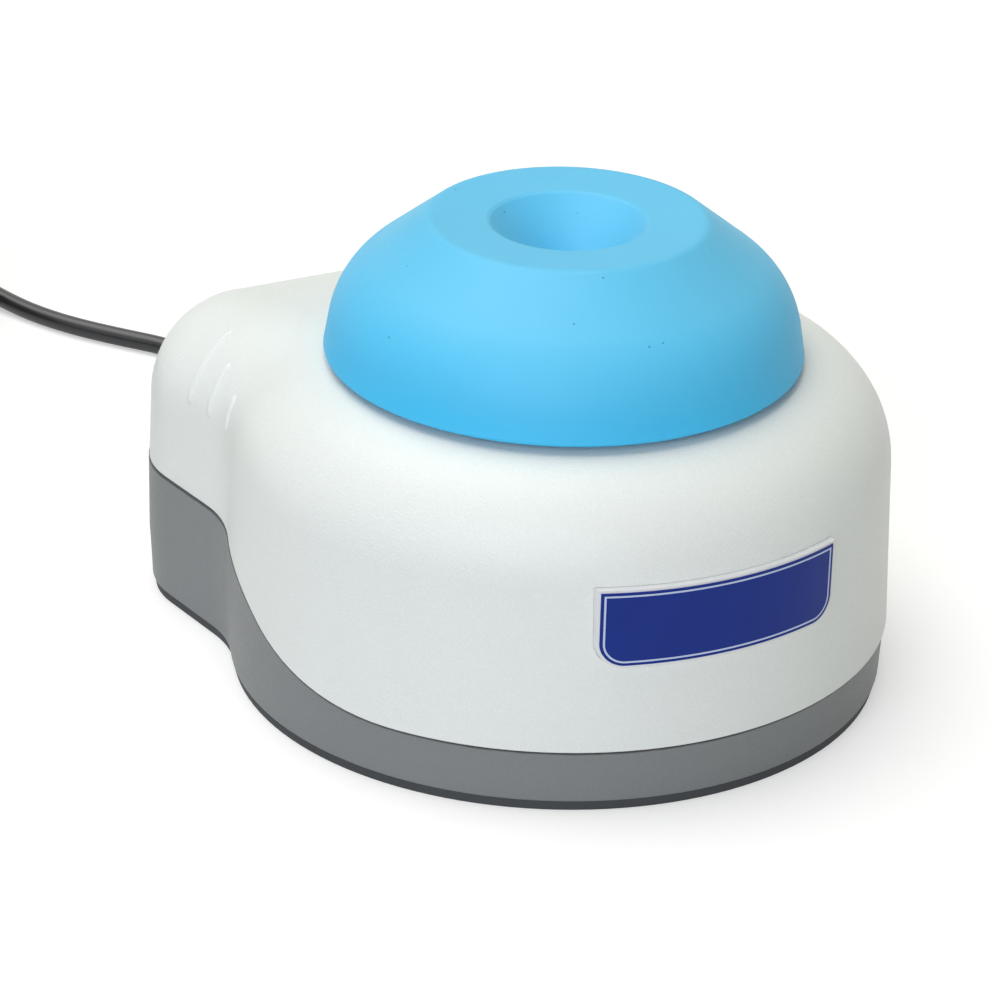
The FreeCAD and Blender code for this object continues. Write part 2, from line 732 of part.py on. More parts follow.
def seam_block(name):
    """Everything below the parting line: level, two equal arcs up to the tail, level again."""
    body = doc.addObject("PartDesign::Body", name)
    sketch = new_sketch(body, name + "_line", "YZ_Plane")
    low, high = number("seam_low"), number("seam_high")
    start, end, radius = number("seam_start"), number("seam_end"), number("seam_radius")
    reach = 40
    near, far, deep = -number("body_radius") - reach, number("tail_back") + reach, -reach
    turn = math.asin(end / radius)
    lower = Part.Circle(Vector(start, low + radius, 0), UP, radius)
    upper = Part.Circle(Vector(end, high - radius, 0), UP, radius)
    corners = [Vector(near, low, 0), Vector(start, low, 0), Vector(end, high, 0), Vector(far, high, 0),
               Vector(far, deep, 0), Vector(near, deep, 0)]
    pieces = [
        Part.LineSegment(corners[0], corners[1]),
        Part.ArcOfCircle(lower, 1.5 * math.pi, 1.5 * math.pi + turn),
        Part.ArcOfCircle(upper, 0.5 * math.pi, 0.5 * math.pi + turn),
        Part.LineSegment(corners[2], corners[3]), Part.LineSegment(corners[3], corners[4]),
        Part.LineSegment(corners[4], corners[5]), Part.LineSegment(corners[5], corners[0]),
    ]
    for piece in pieces:
        sketch.addGeometry(piece, False)
    front, rise, crest, back, far_line, floor, near_line = range(len(pieces))
    for join in ((front, 2, rise, 1), (rise, 2, crest, 2), (crest, 1, back, 1)):
        constrain(sketch, Sketcher.Constraint("Tangent", *join))
    corner_joins = (
        (back, 2, far_line, 1), (far_line, 2, floor, 1), (floor, 2, near_line, 1), (near_line, 2, front, 1),
    )
    for join in corner_joins:
        constrain(sketch, Sketcher.Constraint("Coincident", *join))
    for line in (front, back, floor):
        constrain(sketch, Sketcher.Constraint("Horizontal", line))
    for line in (far_line, near_line):
        constrain(sketch, Sketcher.Constraint("Vertical", line))
    constrain(sketch, Sketcher.Constraint("Equal", rise, crest))
    constrain(sketch, Sketcher.Constraint("DistanceX", front, 2, -1, 1, -start), "-seam_start")
    constrain(sketch, Sketcher.Constraint("DistanceX", -1, 1, back, 1, end), "seam_end")
    constrain(sketch, Sketcher.Constraint("DistanceY", -1, 1, front, 2, low), "seam_low")
    constrain(sketch, Sketcher.Constraint("DistanceY", -1, 1, back, 1, high), "seam_high")
    constrain(sketch, Sketcher.Constraint("DistanceX", -1, 1, far_line, 1, far), f"tail_back + {reach}")
    constrain(sketch, Sketcher.Constraint("DistanceX", near_line, 1, -1, 1, -near), f"body_radius + {reach}")
    constrain(sketch, Sketcher.Constraint("DistanceY", floor, 1, -1, 1, -deep), f"{reach}")
    pad = body.newObject("PartDesign::Pad", name + "_pad")
    pad.Profile = sketch
    pad.Midplane = True
    bind(pad, Length="4 * body_radius")
    doc.recompute()
    return body


def badge_prism(name, margin):
    """The badge's outline, straight top and rounded lower corners, run forward through the front wall."""
    corner_radius = f"(badge_corner - ({margin}))"
    wide = f"(badge_width - 2 * ({margin}))"
    tall = f"(badge_height - 2 * ({margin}))"
    low = f"badge_low + ({margin})"
    corner_z = f"{low} + {corner_radius}"
    deep = "body_radius"
    middle = "-3 * body_radius / 4"
    upper = box(name + "_upper", wide, deep, f"{tall} - {corner_radius}", "0", middle, corner_z)
    lower = box(name + "_lower", f"{wide} - 2 * {corner_radius}", deep, corner_radius, "0", middle, low)
    corners = []
    for side in (1, -1):
        corner = doc.addObject("Part::Cylinder", f"{name}_corner_{'right' if side > 0 else 'left'}")
        bind(corner, Radius=corner_radius, Height=deep)
        corner.Placement.Rotation = FreeCAD.Rotation(Vector(1, 0, 0), 90)
        place(corner, f"{side} * ({wide} / 2 - {corner_radius})", f"{middle} + {deep} / 2", corner_z)
        corners.append(corner)
    return fuse(name, upper, lower, *corners)


def biarc(start, start_way, end, end_way):
    """Two tangent arcs between two points with given directions."""
    span = end - start
    ways = start_way + end_way
    across = span.dot(ways)
    spread = 2 * (1 - start_way.dot(end_way))
    if spread < 1e-9:
        reach = span.dot(span) / (4 * span.dot(end_way))
    else:
        reach = (-across + math.sqrt(across ** 2 + spread * span.dot(span))) / spread
    first_corner = start + start_way * reach
    last_corner = end - end_way * reach
    joint = (first_corner + last_corner) * 0.5
    return [corner_arc(start, first_corner, joint), corner_arc(joint, last_corner, end)]


def corner_arc(start, corner, end):
    """The arc that leaves start towards the corner and arrives at end from it."""
    inward = (start + end) * 0.5 - corner
    if inward.Length < 1e-7:
        return Part.LineSegment(start, end).toShape()
    leg = (corner - start).Length
    radius = leg * (end - start).Length / 2 / inward.Length
    centre = corner + inward * (leg / inward.Length) ** 2
    crown = centre - inward * (radius / inward.Length)
    return Part.Arc(start, crown, end).toShape()


def tube(name, edges, radius):
    """A round tube along tangent edges, checked against section times length."""
    path = Part.Wire(edges)
    start = edges[0].valueAt(edges[0].FirstParameter)
    way = edges[0].tangentAt(edges[0].FirstParameter)
    section = Part.Wire([Part.Circle(start, way, radius).toShape()])
    solid = path.makePipeShell([section], True, False)
    expected = math.pi * radius ** 2 * path.Length
    print(f"{name}: length {path.Length:.1f} mm, volume over section x length {solid.Volume / expected:.4f}")
    if abs(solid.Volume / expected - 1) > 0.01:
        raise RuntimeError(f"{name}: the tube's volume is not its section times its length")
    return solid


def winding(place_at, start, end, step):
    """Biarcs along a formula, one for each step of its parameter."""
    count = max(1, round((end - start) / step))
    nudge = 1e-4
    knots = []
    for index in range(count + 1):
        turn = start + (end - start) * index / count
        low, high = max(turn - nudge, start), min(turn + nudge, end)
        way = place_at(high) - place_at(low)
        knots.append((place_at(turn), way.normalize()))
    edges = []
    for (here, way), (there, next_way) in zip(knots, knots[1:]):
        edges += biarc(here, way, there, next_way)
    return edges


def rounded_route(points):
    """Straight runs joined by arcs as large as the runs allow; the arcs' radii are printed."""
    edges = []
    radii = []
    here = points[0]
    for before, corner, after in zip(points, points[1:], points[2:]):
        into, out = corner - before, after - corner
        turn = into.getAngle(out)
        shorter = min(into.Length, out.Length)
        reach = 0.45 * shorter
        radii.append(reach / math.tan(turn / 2))
        start = corner - into.normalize() * reach
        end = corner + out.normalize() * reach
        edges.append(Part.LineSegment(here, start).toShape())
        edges.append(corner_arc(start, corner, end))
        here = end
    edges.append(Part.LineSegment(here, points[-1]).toShape())
    print("bend radii:", ", ".join(f"{radius:.0f}" for radius in radii))
    return edges


def solid_feature(name, shape, x=0.0, y=0.0, z=0.0):
    feature = doc.addObject("Part::Feature", name)
    feature.Shape = shape
    feature.Placement = FreeCAD.Placement(Vector(x, y, z), FreeCAD.Rotation())
    return feature


def top_cover():
    """White upper shell: drafted wall, large round-over, tail ribs, screw bosses and splash collar."""
    outside = cover_form("cover_outside", "0", "cover_top", "cover_round")
    ribbed = cover_form("cover_rib_skin", "rib_skin_inset", "rib_skin_top", "cover_round + rib_height")
    inside = cover_form("cover_inside", "cover_wall", "cover_under", "cover_round - cover_wall")
    slabs = []
    for step in range(3):
        tall, y = f"rib_tall - {step} * rib_step", f"rib_back - {step} * rib_pitch"
        slabs.append(box(f"cover_rib_slab_{step}", "3 * body_radius", "rib_width", tall, "0", y, "rib_low"))
    ribs = common("cover_ribs", ribbed, group("cover_rib_slabs", slabs))
    bosses = []
    pilots = []
    for index, (x, y) in enumerate(case_screw_places()):
        bosses.append(cylinder(f"cover_boss_{index}", "boss_radius", "cover_top", x, y, "boss_joint"))
        pilots.append(cylinder(f"cover_pilot_{index}", "case_screw_radius + thread_clearance",
                               "case_screw_grip + screw_clearance", x, y, "boss_joint"))
    hollow = cut("cover_hollow", inside, *bosses)
    solid = fuse("cover_solid", outside, ribs)
    collar_outside = cylinder("cover_collar_outside", "collar_radius", "collar_top - cover_under",
                              z="cover_under")
    collar_inside = cylinder("cover_collar_inside", "collar_bore", "cover_top", z="cover_top")
    collar = cut("cover_collar", collar_outside, collar_inside)
    seat = cut("cover_badge_seat", badge_prism("cover_badge_outline", "-badge_clearance"),
               cylinder("cover_badge_wall", "badge_seat_radius", "cover_top"))
    opening = cylinder("cover_opening", "cover_hole", "2 * cover_wall", z="cover_under - cover_wall / 2")
    shell = fuse("cover_with_collar", cut("cover_shell", solid, hollow), collar)
    cut("top_cover", shell, seam_block("cover_seam"), seat, opening, *pilots)


def base_shell():
    """Grey lower shell: drafted skirt, riser to the tail, floor, bosses, standoffs and the lead's hole."""
    skirt = outline_pad("base_skirt", "base_step", "seam_low", "skirt_height", "base_draft", down=True)
    bottom = number("sole_thickness")

    def bottom_edges(shape, edge):
        return edge.BoundBox.ZMax < bottom + CLOSE
    round_edges(skirt, "base_skirt_round", "base_round", bottom_edges)
    riser = outline_pad("base_riser", "base_step", "seam_low", "seam_high - seam_low + cover_wall")
    hollow = outline_pad("base_hollow", "base_inset", "floor_top", "2 * seam_high")
    bosses = []
    holes = []
    shank_hole = "case_screw_radius + screw_clearance"
    head_hole = "case_head_radius + screw_clearance"
    boss_height = "boss_joint - sole_thickness"
    for index, (x, y) in enumerate(case_screw_places()):
        bosses.append(cylinder(f"base_boss_{index}", "boss_radius", boss_height, x, y, "sole_thickness"))
        holes.append(cylinder(f"base_screw_hole_{index}", shank_hole, "boss_joint", x, y, "0"))
        holes.append(cylinder(f"base_head_hole_{index}", head_hole, "case_head_seat", x, y, "0"))
    for index, (x, y) in enumerate(ballast_screw_places()):
        holes.append(cylinder(f"base_ballast_hole_{index}", shank_hole, "floor_top", x, y, "0"))
        holes.append(cylinder(f"base_ballast_head_{index}", "ballast_head_radius + screw_clearance",
                              "sole_thickness + ballast_head_sink + ballast_head_height", x, y, "0"))
    for side in (1, -1):
        x = f"{side} * board_screw_pitch / 2"
        bosses.append(cylinder(f"base_standoff_{side + 1}", "standoff_radius", "board_z - sole_thickness",
                               x, "board_screw_y", "sole_thickness"))
        holes.append(cylinder(f"base_standoff_hole_{side + 1}", "board_screw_radius + thread_clearance",
                              "board_screw_depth + screw_clearance", x, "board_screw_y",
                              "board_z - board_screw_depth - screw_clearance"))
    exit_hole = cylinder("base_exit_hole", "relief_barrel_radius + relief_clearance", "4 * base_wall",
                         "0", "back_wall - 3 * base_wall", "exit_height")
    exit_hole.Placement.Rotation = FreeCAD.Rotation(Vector(1, 0, 0), -90)
    room = cut("base_room", hollow, *bosses)
    solid = cut("base_solid", fuse("base_outside", skirt, riser), room)
    below = common("base_below_seam", solid, seam_block("base_seam"))
    cut("base_shell", below, exit_hole, *holes)


def rubber_sole():
    """Dark rubber mat under the base, with holes for the screw heads."""
    mat = outline_pad("sole_mat", "sole_inset", "0", "sole_thickness")
    holes = [cylinder(f"sole_hole_{index}", "case_head_radius + screw_clearance", "2 * sole_thickness", x, y,
                      "-sole_thickness / 2") for index, (x, y) in enumerate(case_screw_places())]
    cut("rubber_sole", mat, *holes)


def badge():
    """Raised front plate with rounded lower corners, and the bare film on it."""
    ring = cut("badge_ring", cylinder("badge_ring_outside", "badge_radius", "cover_top"),
               cylinder("badge_ring_inside", "badge_seat_radius", "2 * cover_top", z="-cover_top / 2"))
    common("badge_plate", ring, badge_prism("badge_outline", "0"))
    film_ring = cut("film_ring", cylinder("film_ring_outside", "film_radius", "cover_top"),
                    cylinder("film_ring_inside", "badge_radius", "2 * cover_top", z="-cover_top / 2"))
    common("badge_film", film_ring, badge_prism("film_outline", "film_margin"))


def headed_screws(name, screws):
    """Screws as separate solids: each is head radius, height and z, shank radius, length and z, then x, y."""
    made = []
    for index, (head_radius, head_height, head_z, radius, length, shank_z, x, y) in enumerate(screws):
        head = cylinder(f"{name}_head_{index}", head_radius, head_height, x, y, head_z)
        shank = cylinder(f"{name}_shank_{index}", radius, length, x, y, shank_z)
        made.append(fuse(f"{name}_{index}", head, shank))
    group(name, made)


def fasteners():
    """The case, ballast, motor, bracket and board screws."""
    case_length = "boss_joint + case_screw_grip - case_head_seat"
    headed_screws("case_screws", [
        ("case_head_radius", "case_head_height", "case_head_seat - case_head_height",
         "case_screw_radius", case_length, "case_head_seat", x, y) for x, y in case_screw_places()])
    seat = "sole_thickness + ballast_head_sink + ballast_head_height"
    headed_screws("ballast_screws", [
        ("ballast_head_radius", "ballast_head_height", "sole_thickness + ballast_head_sink",
         "case_screw_radius", f"ballast_top - ballast_thread_land - ({seat})", seat, x, y)
        for x, y in ballast_screw_places()])
    headed_screws("motor_screws", [
        ("motor_head_radius", "motor_head_height", "plate_top", "motor_screw_radius",
         "plate_thickness + motor_screw_depth", "plate_z - motor_screw_depth",
         f"{side} * motor_screw_ring_radius", "0") for side in (1, -1)])
    headed_screws("bracket_screws", [
        ("bracket_head_radius", "bracket_head_height", "ballast_top + bracket_sheet", "bracket_screw_radius",
         "bracket_sheet + bracket_screw_depth", "ballast_top - bracket_screw_depth",
         f"{side} * bracket_screw_pitch / 2", "bracket_back + bracket_foot / 2") for side in (1, -1)])
    headed_screws("board_screws", [
        ("board_head_radius", "board_head_height", "board_top", "board_screw_radius",
         "board_thickness + board_screw_depth", "board_z - board_screw_depth",
         f"{side} * board_screw_pitch / 2", "board_screw_y") for side in (1, -1)])


def ballast():
    """Round steel weight with tapped holes and the sockets of the guide posts."""
    disc = cylinder("ballast_disc", "ballast_radius", "ballast_thickness", z="floor_top")
    holes = [cylinder(f"ballast_thread_{index}", "case_screw_radius + thread_clearance",
                      "2 * ballast_thickness", x, y, "floor_top - ballast_thickness / 2")
             for index, (x, y) in enumerate(ballast_screw_places())]
    holes += [cylinder(f"ballast_socket_{index}", "post_foot_radius + seat_clearance", "2 * post_foot", x, y,
                       "post_foot_z - seat_clearance") for index, (x, y) in enumerate(post_places())]
    holes += [cylinder(f"ballast_bracket_thread_{side + 1}", "bracket_screw_radius + thread_clearance",
                       "2 * bracket_screw_depth", f"{side} * bracket_screw_pitch / 2",
                       "bracket_back + bracket_foot / 2",
                       "ballast_top - bracket_screw_depth - screw_clearance") for side in (1, -1)]
    cut("ballast_plate", disc, *holes)


def carriage_guides():
    """Guide posts with their clips, the carriage's bushes and the return springs."""
    posts = []
    clips = []
    bushes = []
    for index, (x, y) in enumerate(post_places()):
        posts.append(turned(f"post_{index}", [
            ("0", "post_foot_z"), ("post_foot_radius", "post_foot_z"), ("post_foot_radius", "ballast_top"),
            ("post_shoulder_radius", "ballast_top"), ("post_shoulder_radius", "shoulder_top"),
            ("post_radius", "shoulder_top"), ("post_radius", "clip_groove_z"),
            ("clip_groove_radius", "clip_groove_z"), ("clip_groove_radius", "clip_groove_top"),
            ("post_radius", "clip_groove_top"), ("post_radius", "post_top"), ("0", "post_top")], x, y))
        disc = cylinder(f"clip_disc_{index}", "clip_radius", "clip_thickness", x, y, "clip_z")
        through, below = "2 * clip_thickness", "clip_z - clip_thickness / 2"
        eye = cylinder(f"clip_eye_{index}", "clip_grip", through, x, y, below)
        mouth = box(f"clip_mouth_{index}", "clip_mouth", "clip_radius", through,
                    x, f"{y} + clip_radius / 2", below)
        clips.append(cut(f"clip_{index}", disc, eye, mouth))
        bushes.append(turned(f"bush_{index}", [
            ("bush_bore", "bush_z"), ("bush_flange_radius", "bush_z"), ("bush_flange_radius", "plate_z"),
            ("bush_radius", "plate_z"), ("bush_radius", "bush_top"), ("bush_bore", "bush_top")], x, y))
    group("guide_posts", posts)
    group("post_clips", clips)
    group("slide_bushes", bushes)

    mean, rise, turns = number("spring_mean_radius"), number("spring_rise"), number("spring_turns")

    def along_spring(turn):
        angle = 2 * math.pi * turn
        return Vector(mean * math.cos(angle), mean * math.sin(angle), rise * turn / turns)
    coil = tube("return spring", winding(along_spring, 0.0, turns, 0.25), number("spring_wire_radius"))
    print(f"spring gap between turns {rise / turns - 2 * number('spring_wire_radius'):.2f} mm")
    springs = []
    for index, (x, y) in enumerate(post_places()):
        spring = solid_feature(f"spring_{index}", coil)
        springs.append(place(spring, x, y, "spring_z"))
    group("return_springs", springs)


def motor():
    """The carriage plate with the motor under it."""
    disc = cylinder("plate_disc", "plate_radius", "plate_thickness", z="plate_z")
    through, below = "2 * plate_thickness", "plate_z - plate_thickness / 2"
    holes = [cylinder("plate_boss_hole", "motor_boss_radius + seat_clearance", through, z=below)]
    holes += [cylinder(f"plate_bush_hole_{index}", "bush_radius + seat_clearance", through, x, y, below)
              for index, (x, y) in enumerate(post_places())]
    holes += [cylinder(f"plate_screw_hole_{side + 1}", "motor_screw_radius + screw_clearance", through,
                       f"{side} * motor_screw_ring_radius", "0", below) for side in (1, -1)]
    cut("motor_plate", disc, *holes)

    can = turned("can_body", [
        ("0", "can_z"), ("can_radius", "can_z"), ("can_radius", "plate_z"), ("motor_boss_radius", "plate_z"),
        ("motor_boss_radius", "boss_top"), ("shaft_bore", "boss_top"), ("shaft_bore", "shaft_bore_z"),
        ("0", "shaft_bore_z")])
    threads = [cylinder(f"can_thread_{side + 1}", "motor_screw_radius + thread_clearance",
                        "motor_screw_depth + 2 * screw_clearance", f"{side} * motor_screw_ring_radius", "0",
                        "plate_z - motor_screw_depth - screw_clearance") for side in (1, -1)]
    cut("motor_can", can, *threads)
    cylinder("motor_cap", "cap_radius", "cap_thickness", z="cap_z")
    tabs = [box(f"terminal_{side + 1}", "terminal_length", "terminal_width", "terminal_thickness",
                f"{side} * (cap_radius + terminal_clearance + terminal_length / 2)", "0",
                "cap_z + cap_thickness / 2") for side in (1, -1)]
    group("motor_terminals", tabs)
    cylinder("motor_shaft", "shaft_radius", "shaft_top - shaft_z", z="shaft_z")


def crank():
    """Eccentric with its stub, the counterweight, set screw, bearing and clip."""
    disc = cylinder("eccentric_disc", "eccentric_radius", "eccentric_thickness", z="eccentric_z")
    stub = turned("eccentric_stub", [
        ("0", "stub_root"), ("stub_collar_radius", "stub_root"), ("stub_collar_radius", "race_z"),
        ("stub_radius", "race_z"), ("stub_radius", "stub_groove_z"), ("stub_groove_radius", "stub_groove_z"),
        ("stub_groove_radius", "stub_groove_top"), ("stub_radius", "stub_groove_top"),
        ("stub_radius", "stub_top"), ("0", "stub_top")], "crank_x", "crank_y")
    bore = cylinder("eccentric_bore", "shaft_radius + seat_clearance",
                    "shaft_top - eccentric_z + thread_clearance", z="eccentric_z")
    tapped = cylinder("eccentric_tapped", "set_screw_radius + thread_clearance", "2 * eccentric_radius",
                      z="set_screw_z")
    screw = cylinder("set_screw", "set_screw_radius", "eccentric_radius - shaft_radius - 2 * seat_clearance",
                     "(shaft_radius + seat_clearance) * cos(crank_angle)",
                     "(shaft_radius + seat_clearance) * sin(crank_angle)", "set_screw_z")
    for piece in (tapped, screw):
        bind(piece, Placement__Rotation__Axis__x="-sin(crank_angle)",
             Placement__Rotation__Axis__y="cos(crank_angle)", Placement__Rotation__Axis__z="0",
             Placement__Rotation__Angle="90")
    cut("eccentric", fuse("eccentric_turned", disc, stub), bore, tapped)

    half_turn = doc.addObject("Part::Cylinder", "counterweight_half")
    bind(half_turn, Radius="counterweight_radius", Height="counterweight_thickness",
         Angle="counterweight_angle",
         Placement__Rotation__Angle="crank_angle + 180 - counterweight_angle / 2")
    place(half_turn, z="eccentric_z")
    eye = cylinder("counterweight_eye", "eccentric_radius + seat_clearance", "2 * counterweight_thickness",
                   z="eccentric_z - counterweight_thickness / 2")
    cut("counterweight", half_turn, eye)

    turned("bearing_inner_race", [
        ("inner_race_bore", "race_z"), ("inner_race_radius", "race_z"), ("inner_race_radius", "race_top"),
        ("inner_race_bore", "race_top")], "crank_x", "crank_y")
    turned("bearing_outer_race", [
        ("outer_race_bore", "race_z"), ("bearing_radius", "race_z"), ("bearing_radius", "race_top"),
        ("outer_race_bore", "race_top")], "crank_x", "crank_y")
    balls = []
    count = int(number("ball_count"))
    for index in range(count):
        x, y = polar("ball_ring", f"{index} * 360 / ball_count")
        ball = doc.addObject("Part::Sphere", f"ball_{index}")
        bind(ball, Radius="ball_radius")
        balls.append(place(ball, f"crank_x + {x}", f"crank_y + {y}", "race_middle"))
    group("bearing_balls", balls)
    clip_disc = cylinder("stub_clip_disc", "stub_clip_radius", "stub_clip_thickness",
                         "crank_x", "crank_y", "stub_clip_z")
    clip_eye = cylinder("stub_clip_eye", "stub_clip_grip", "2 * stub_clip_thickness",
                        "crank_x", "crank_y", "stub_clip_z - stub_clip_thickness / 2")
    cut("bearing_clip", clip_disc, clip_eye)


def head():
    """Plastic hub, the rubber cup head pressed over it, and the splash seal on the cover's collar."""
    turned("head_hub", [
        ("hub_bore", "hub_z"), ("hub_radius", "hub_z"), ("hub_radius", "flange_z"),
        ("flange_radius", "flange_z"), ("flange_radius", "flange_top"), ("hub_radius", "flange_top"),
        ("hub_radius", "hub_top"), ("0", "hub_top"), ("0", "relief_top"),
        ("clip_relief_radius", "relief_top"), ("clip_relief_radius", "hub_bore_top"),
        ("hub_bore", "hub_bore_top")], "crank_x", "crank_y")
    cup = turned("mixing_head", [
        ("rim_bore", "rim_z"), ("rim_radius", "rim_z"), ("shoulder_radius", "shoulder_z"),
        ("plateau_radius", "plateau_z"), ("dimple_radius", "dimple_rim_z"),
        ("dimple_floor_radius", "dimple_cone_z"), ("0", "dimple_floor_z"), ("0", "head_bore_top"),
        ("head_bore_radius", "head_bore_top"),
        ("head_bore_radius", "head_pocket_top"), ("head_pocket_radius", "head_pocket_top"),
        ("head_pocket_radius", "retainer_top"), ("retainer_radius", "retainer_top"),
        ("retainer_radius", "retainer_low")], "crank_x", "crank_y")
    round_edges(cup, "mixing_head_shoulder", "shoulder_round", circle_at("shoulder_radius", "shoulder_z"))
    round_edges(cup, "mixing_head_dimple", "dimple_edge_round", circle_at("dimple_radius", "dimple_rim_z"))
    round_edges(cup, "mixing_head_dimple_floor", "dimple_floor_round",
                circle_at("dimple_floor_radius", "dimple_cone_z"))
    round_edges(cup, "mixing_head_plateau", "plateau_edge_round", circle_at("plateau_radius", "plateau_z"))
    round_edges(cup, "mixing_head_rim", "rim_round", circle_at("rim_radius", "rim_z"))
    turned("splash_seal", [
        ("seal_bore", "seal_low"), ("seal_radius", "seal_low"), ("seal_radius", "seal_shelf"),
        ("seal_lip_radius", "seal_lip_low"), ("seal_lip_tip", "seal_top"), ("seal_bore", "seal_shelf")])


def touch_switch():
    """Bracket on the ballast, the switch behind the motor and its plunger under the carriage."""
    upright = box("bracket_upright", "bracket_width", "bracket_sheet", "switch_top - ballast_top", "0",
                  "bracket_y + bracket_sheet / 2", "ballast_top")
    foot = box("bracket_base", "bracket_width", "bracket_foot", "bracket_sheet", "0",
               "bracket_back + bracket_foot / 2", "ballast_top")
    holes = [cylinder(f"bracket_hole_{side + 1}", "bracket_screw_radius + screw_clearance",
                      "4 * bracket_sheet", f"{side} * bracket_screw_pitch / 2",
                      "bracket_back + bracket_foot / 2", "ballast_top - bracket_sheet") for side in (1, -1)]
    cut("switch_bracket", fuse("bracket_bent", upright, foot), *holes)
    case = box("switch_case", "switch_width", "switch_depth", "switch_height", "0", "plunger_y", "switch_z")
    well = cylinder("switch_well", "plunger_radius + plunger_clearance", "switch_height",
                    "plunger_offset", "plunger_y", "plunger_hole_z")
    cut("touch_switch", case, well)
    cylinder("switch_plunger", "plunger_radius", "plunger_top - plunger_z",
             "plunger_offset", "plunger_y", "plunger_z")


def circuit():
    """Circuit board on two standoffs in the tail, with its terminal block and capacitor."""
    middle = "board_front + board_length / 2"
    sheet = box("board_sheet", "board_width", "board_length", "board_thickness", "0", middle, "board_z")
    holes = [cylinder(f"board_hole_{side + 1}", "board_screw_radius + screw_clearance", "2 * board_thickness",
                      f"{side} * board_screw_pitch / 2", "board_screw_y", "board_z - board_thickness / 2")
             for side in (1, -1)]
    cut("circuit_board", sheet, *holes)
    box("board_terminals", "terminal_block_width", "terminal_block_length", "terminal_block_height", "0",
        "board_back - terminal_block_length / 2", "board_top")
    cylinder("board_capacitor", "capacitor_radius", "capacitor_height",
             "-capacitor_offset", "board_back - capacitor_radius - board_gap", "board_top")


# The lead's route after it leaves the strain relief, lying on the floor up to the coil.
LEAD_ROUTE = [
    (-0.3, 92.0, 14.6),
    (-0.8, 102.0, 9.4),
    (-1.6, 113.0, 3.4),
    (-3.4, 125.0, 1.75),
    (-8.2, 138.0, 1.75),
    (-15.4, 147.0, 1.75),
    (-21.4, 155.6, 1.75),
    (-25.6, 164.0, 1.75),
    (-28.4, 171.2, 2.1),
    (-30.6, 178.0, 2.7),
]
# Where on the coil the lead arrives, measured from +X about the coil's centre.
COIL_ENTRY = math.radians(18.4)


def coil_place(turn):
    """A point of the coil: in and out again in four layers, climbing in the half turn at each reversal."""
    turns, legs = number("coil_turns"), int(number("coil_legs"))
    leg = min(int(turn / turns), legs - 1)
    share = turn / turns - leg
    inward = share if leg % 2 == 0 else 1 - share
    radius = number("coil_radius") - number("coil_pitch") * turns * inward
    height = number("coil_z")
    for change in range(1, legs):
        climb = min(max((turn - change * turns) / 0.5 + 0.5, 0.0), 1.0)
        height += number("coil_layer") * climb * climb * (3 - 2 * climb)
    angle = COIL_ENTRY + 2 * math.pi * turn
    centre = Vector(number("coil_x"), number("coil_y"), height)
    return centre + Vector(radius * math.cos(angle), radius * math.sin(angle), 0)


def coil_way(turn):
    """The direction of the coil at one turn, taken over a short stretch inside it."""
    stretch = 1e-4
    start = min(turn, number("coil_all_turns") - stretch)
    return (coil_place(start + stretch) - coil_place(start)).normalize()


def least_gap(points, neighbours):
    """The least distance between points of a winding that are further apart along it."""
    least = None
    for index, point in enumerate(points):
        for other in points[index + neighbours:]:
            distance = (point - other).Length
            least = distance if least is None else min(least, distance)
    return least


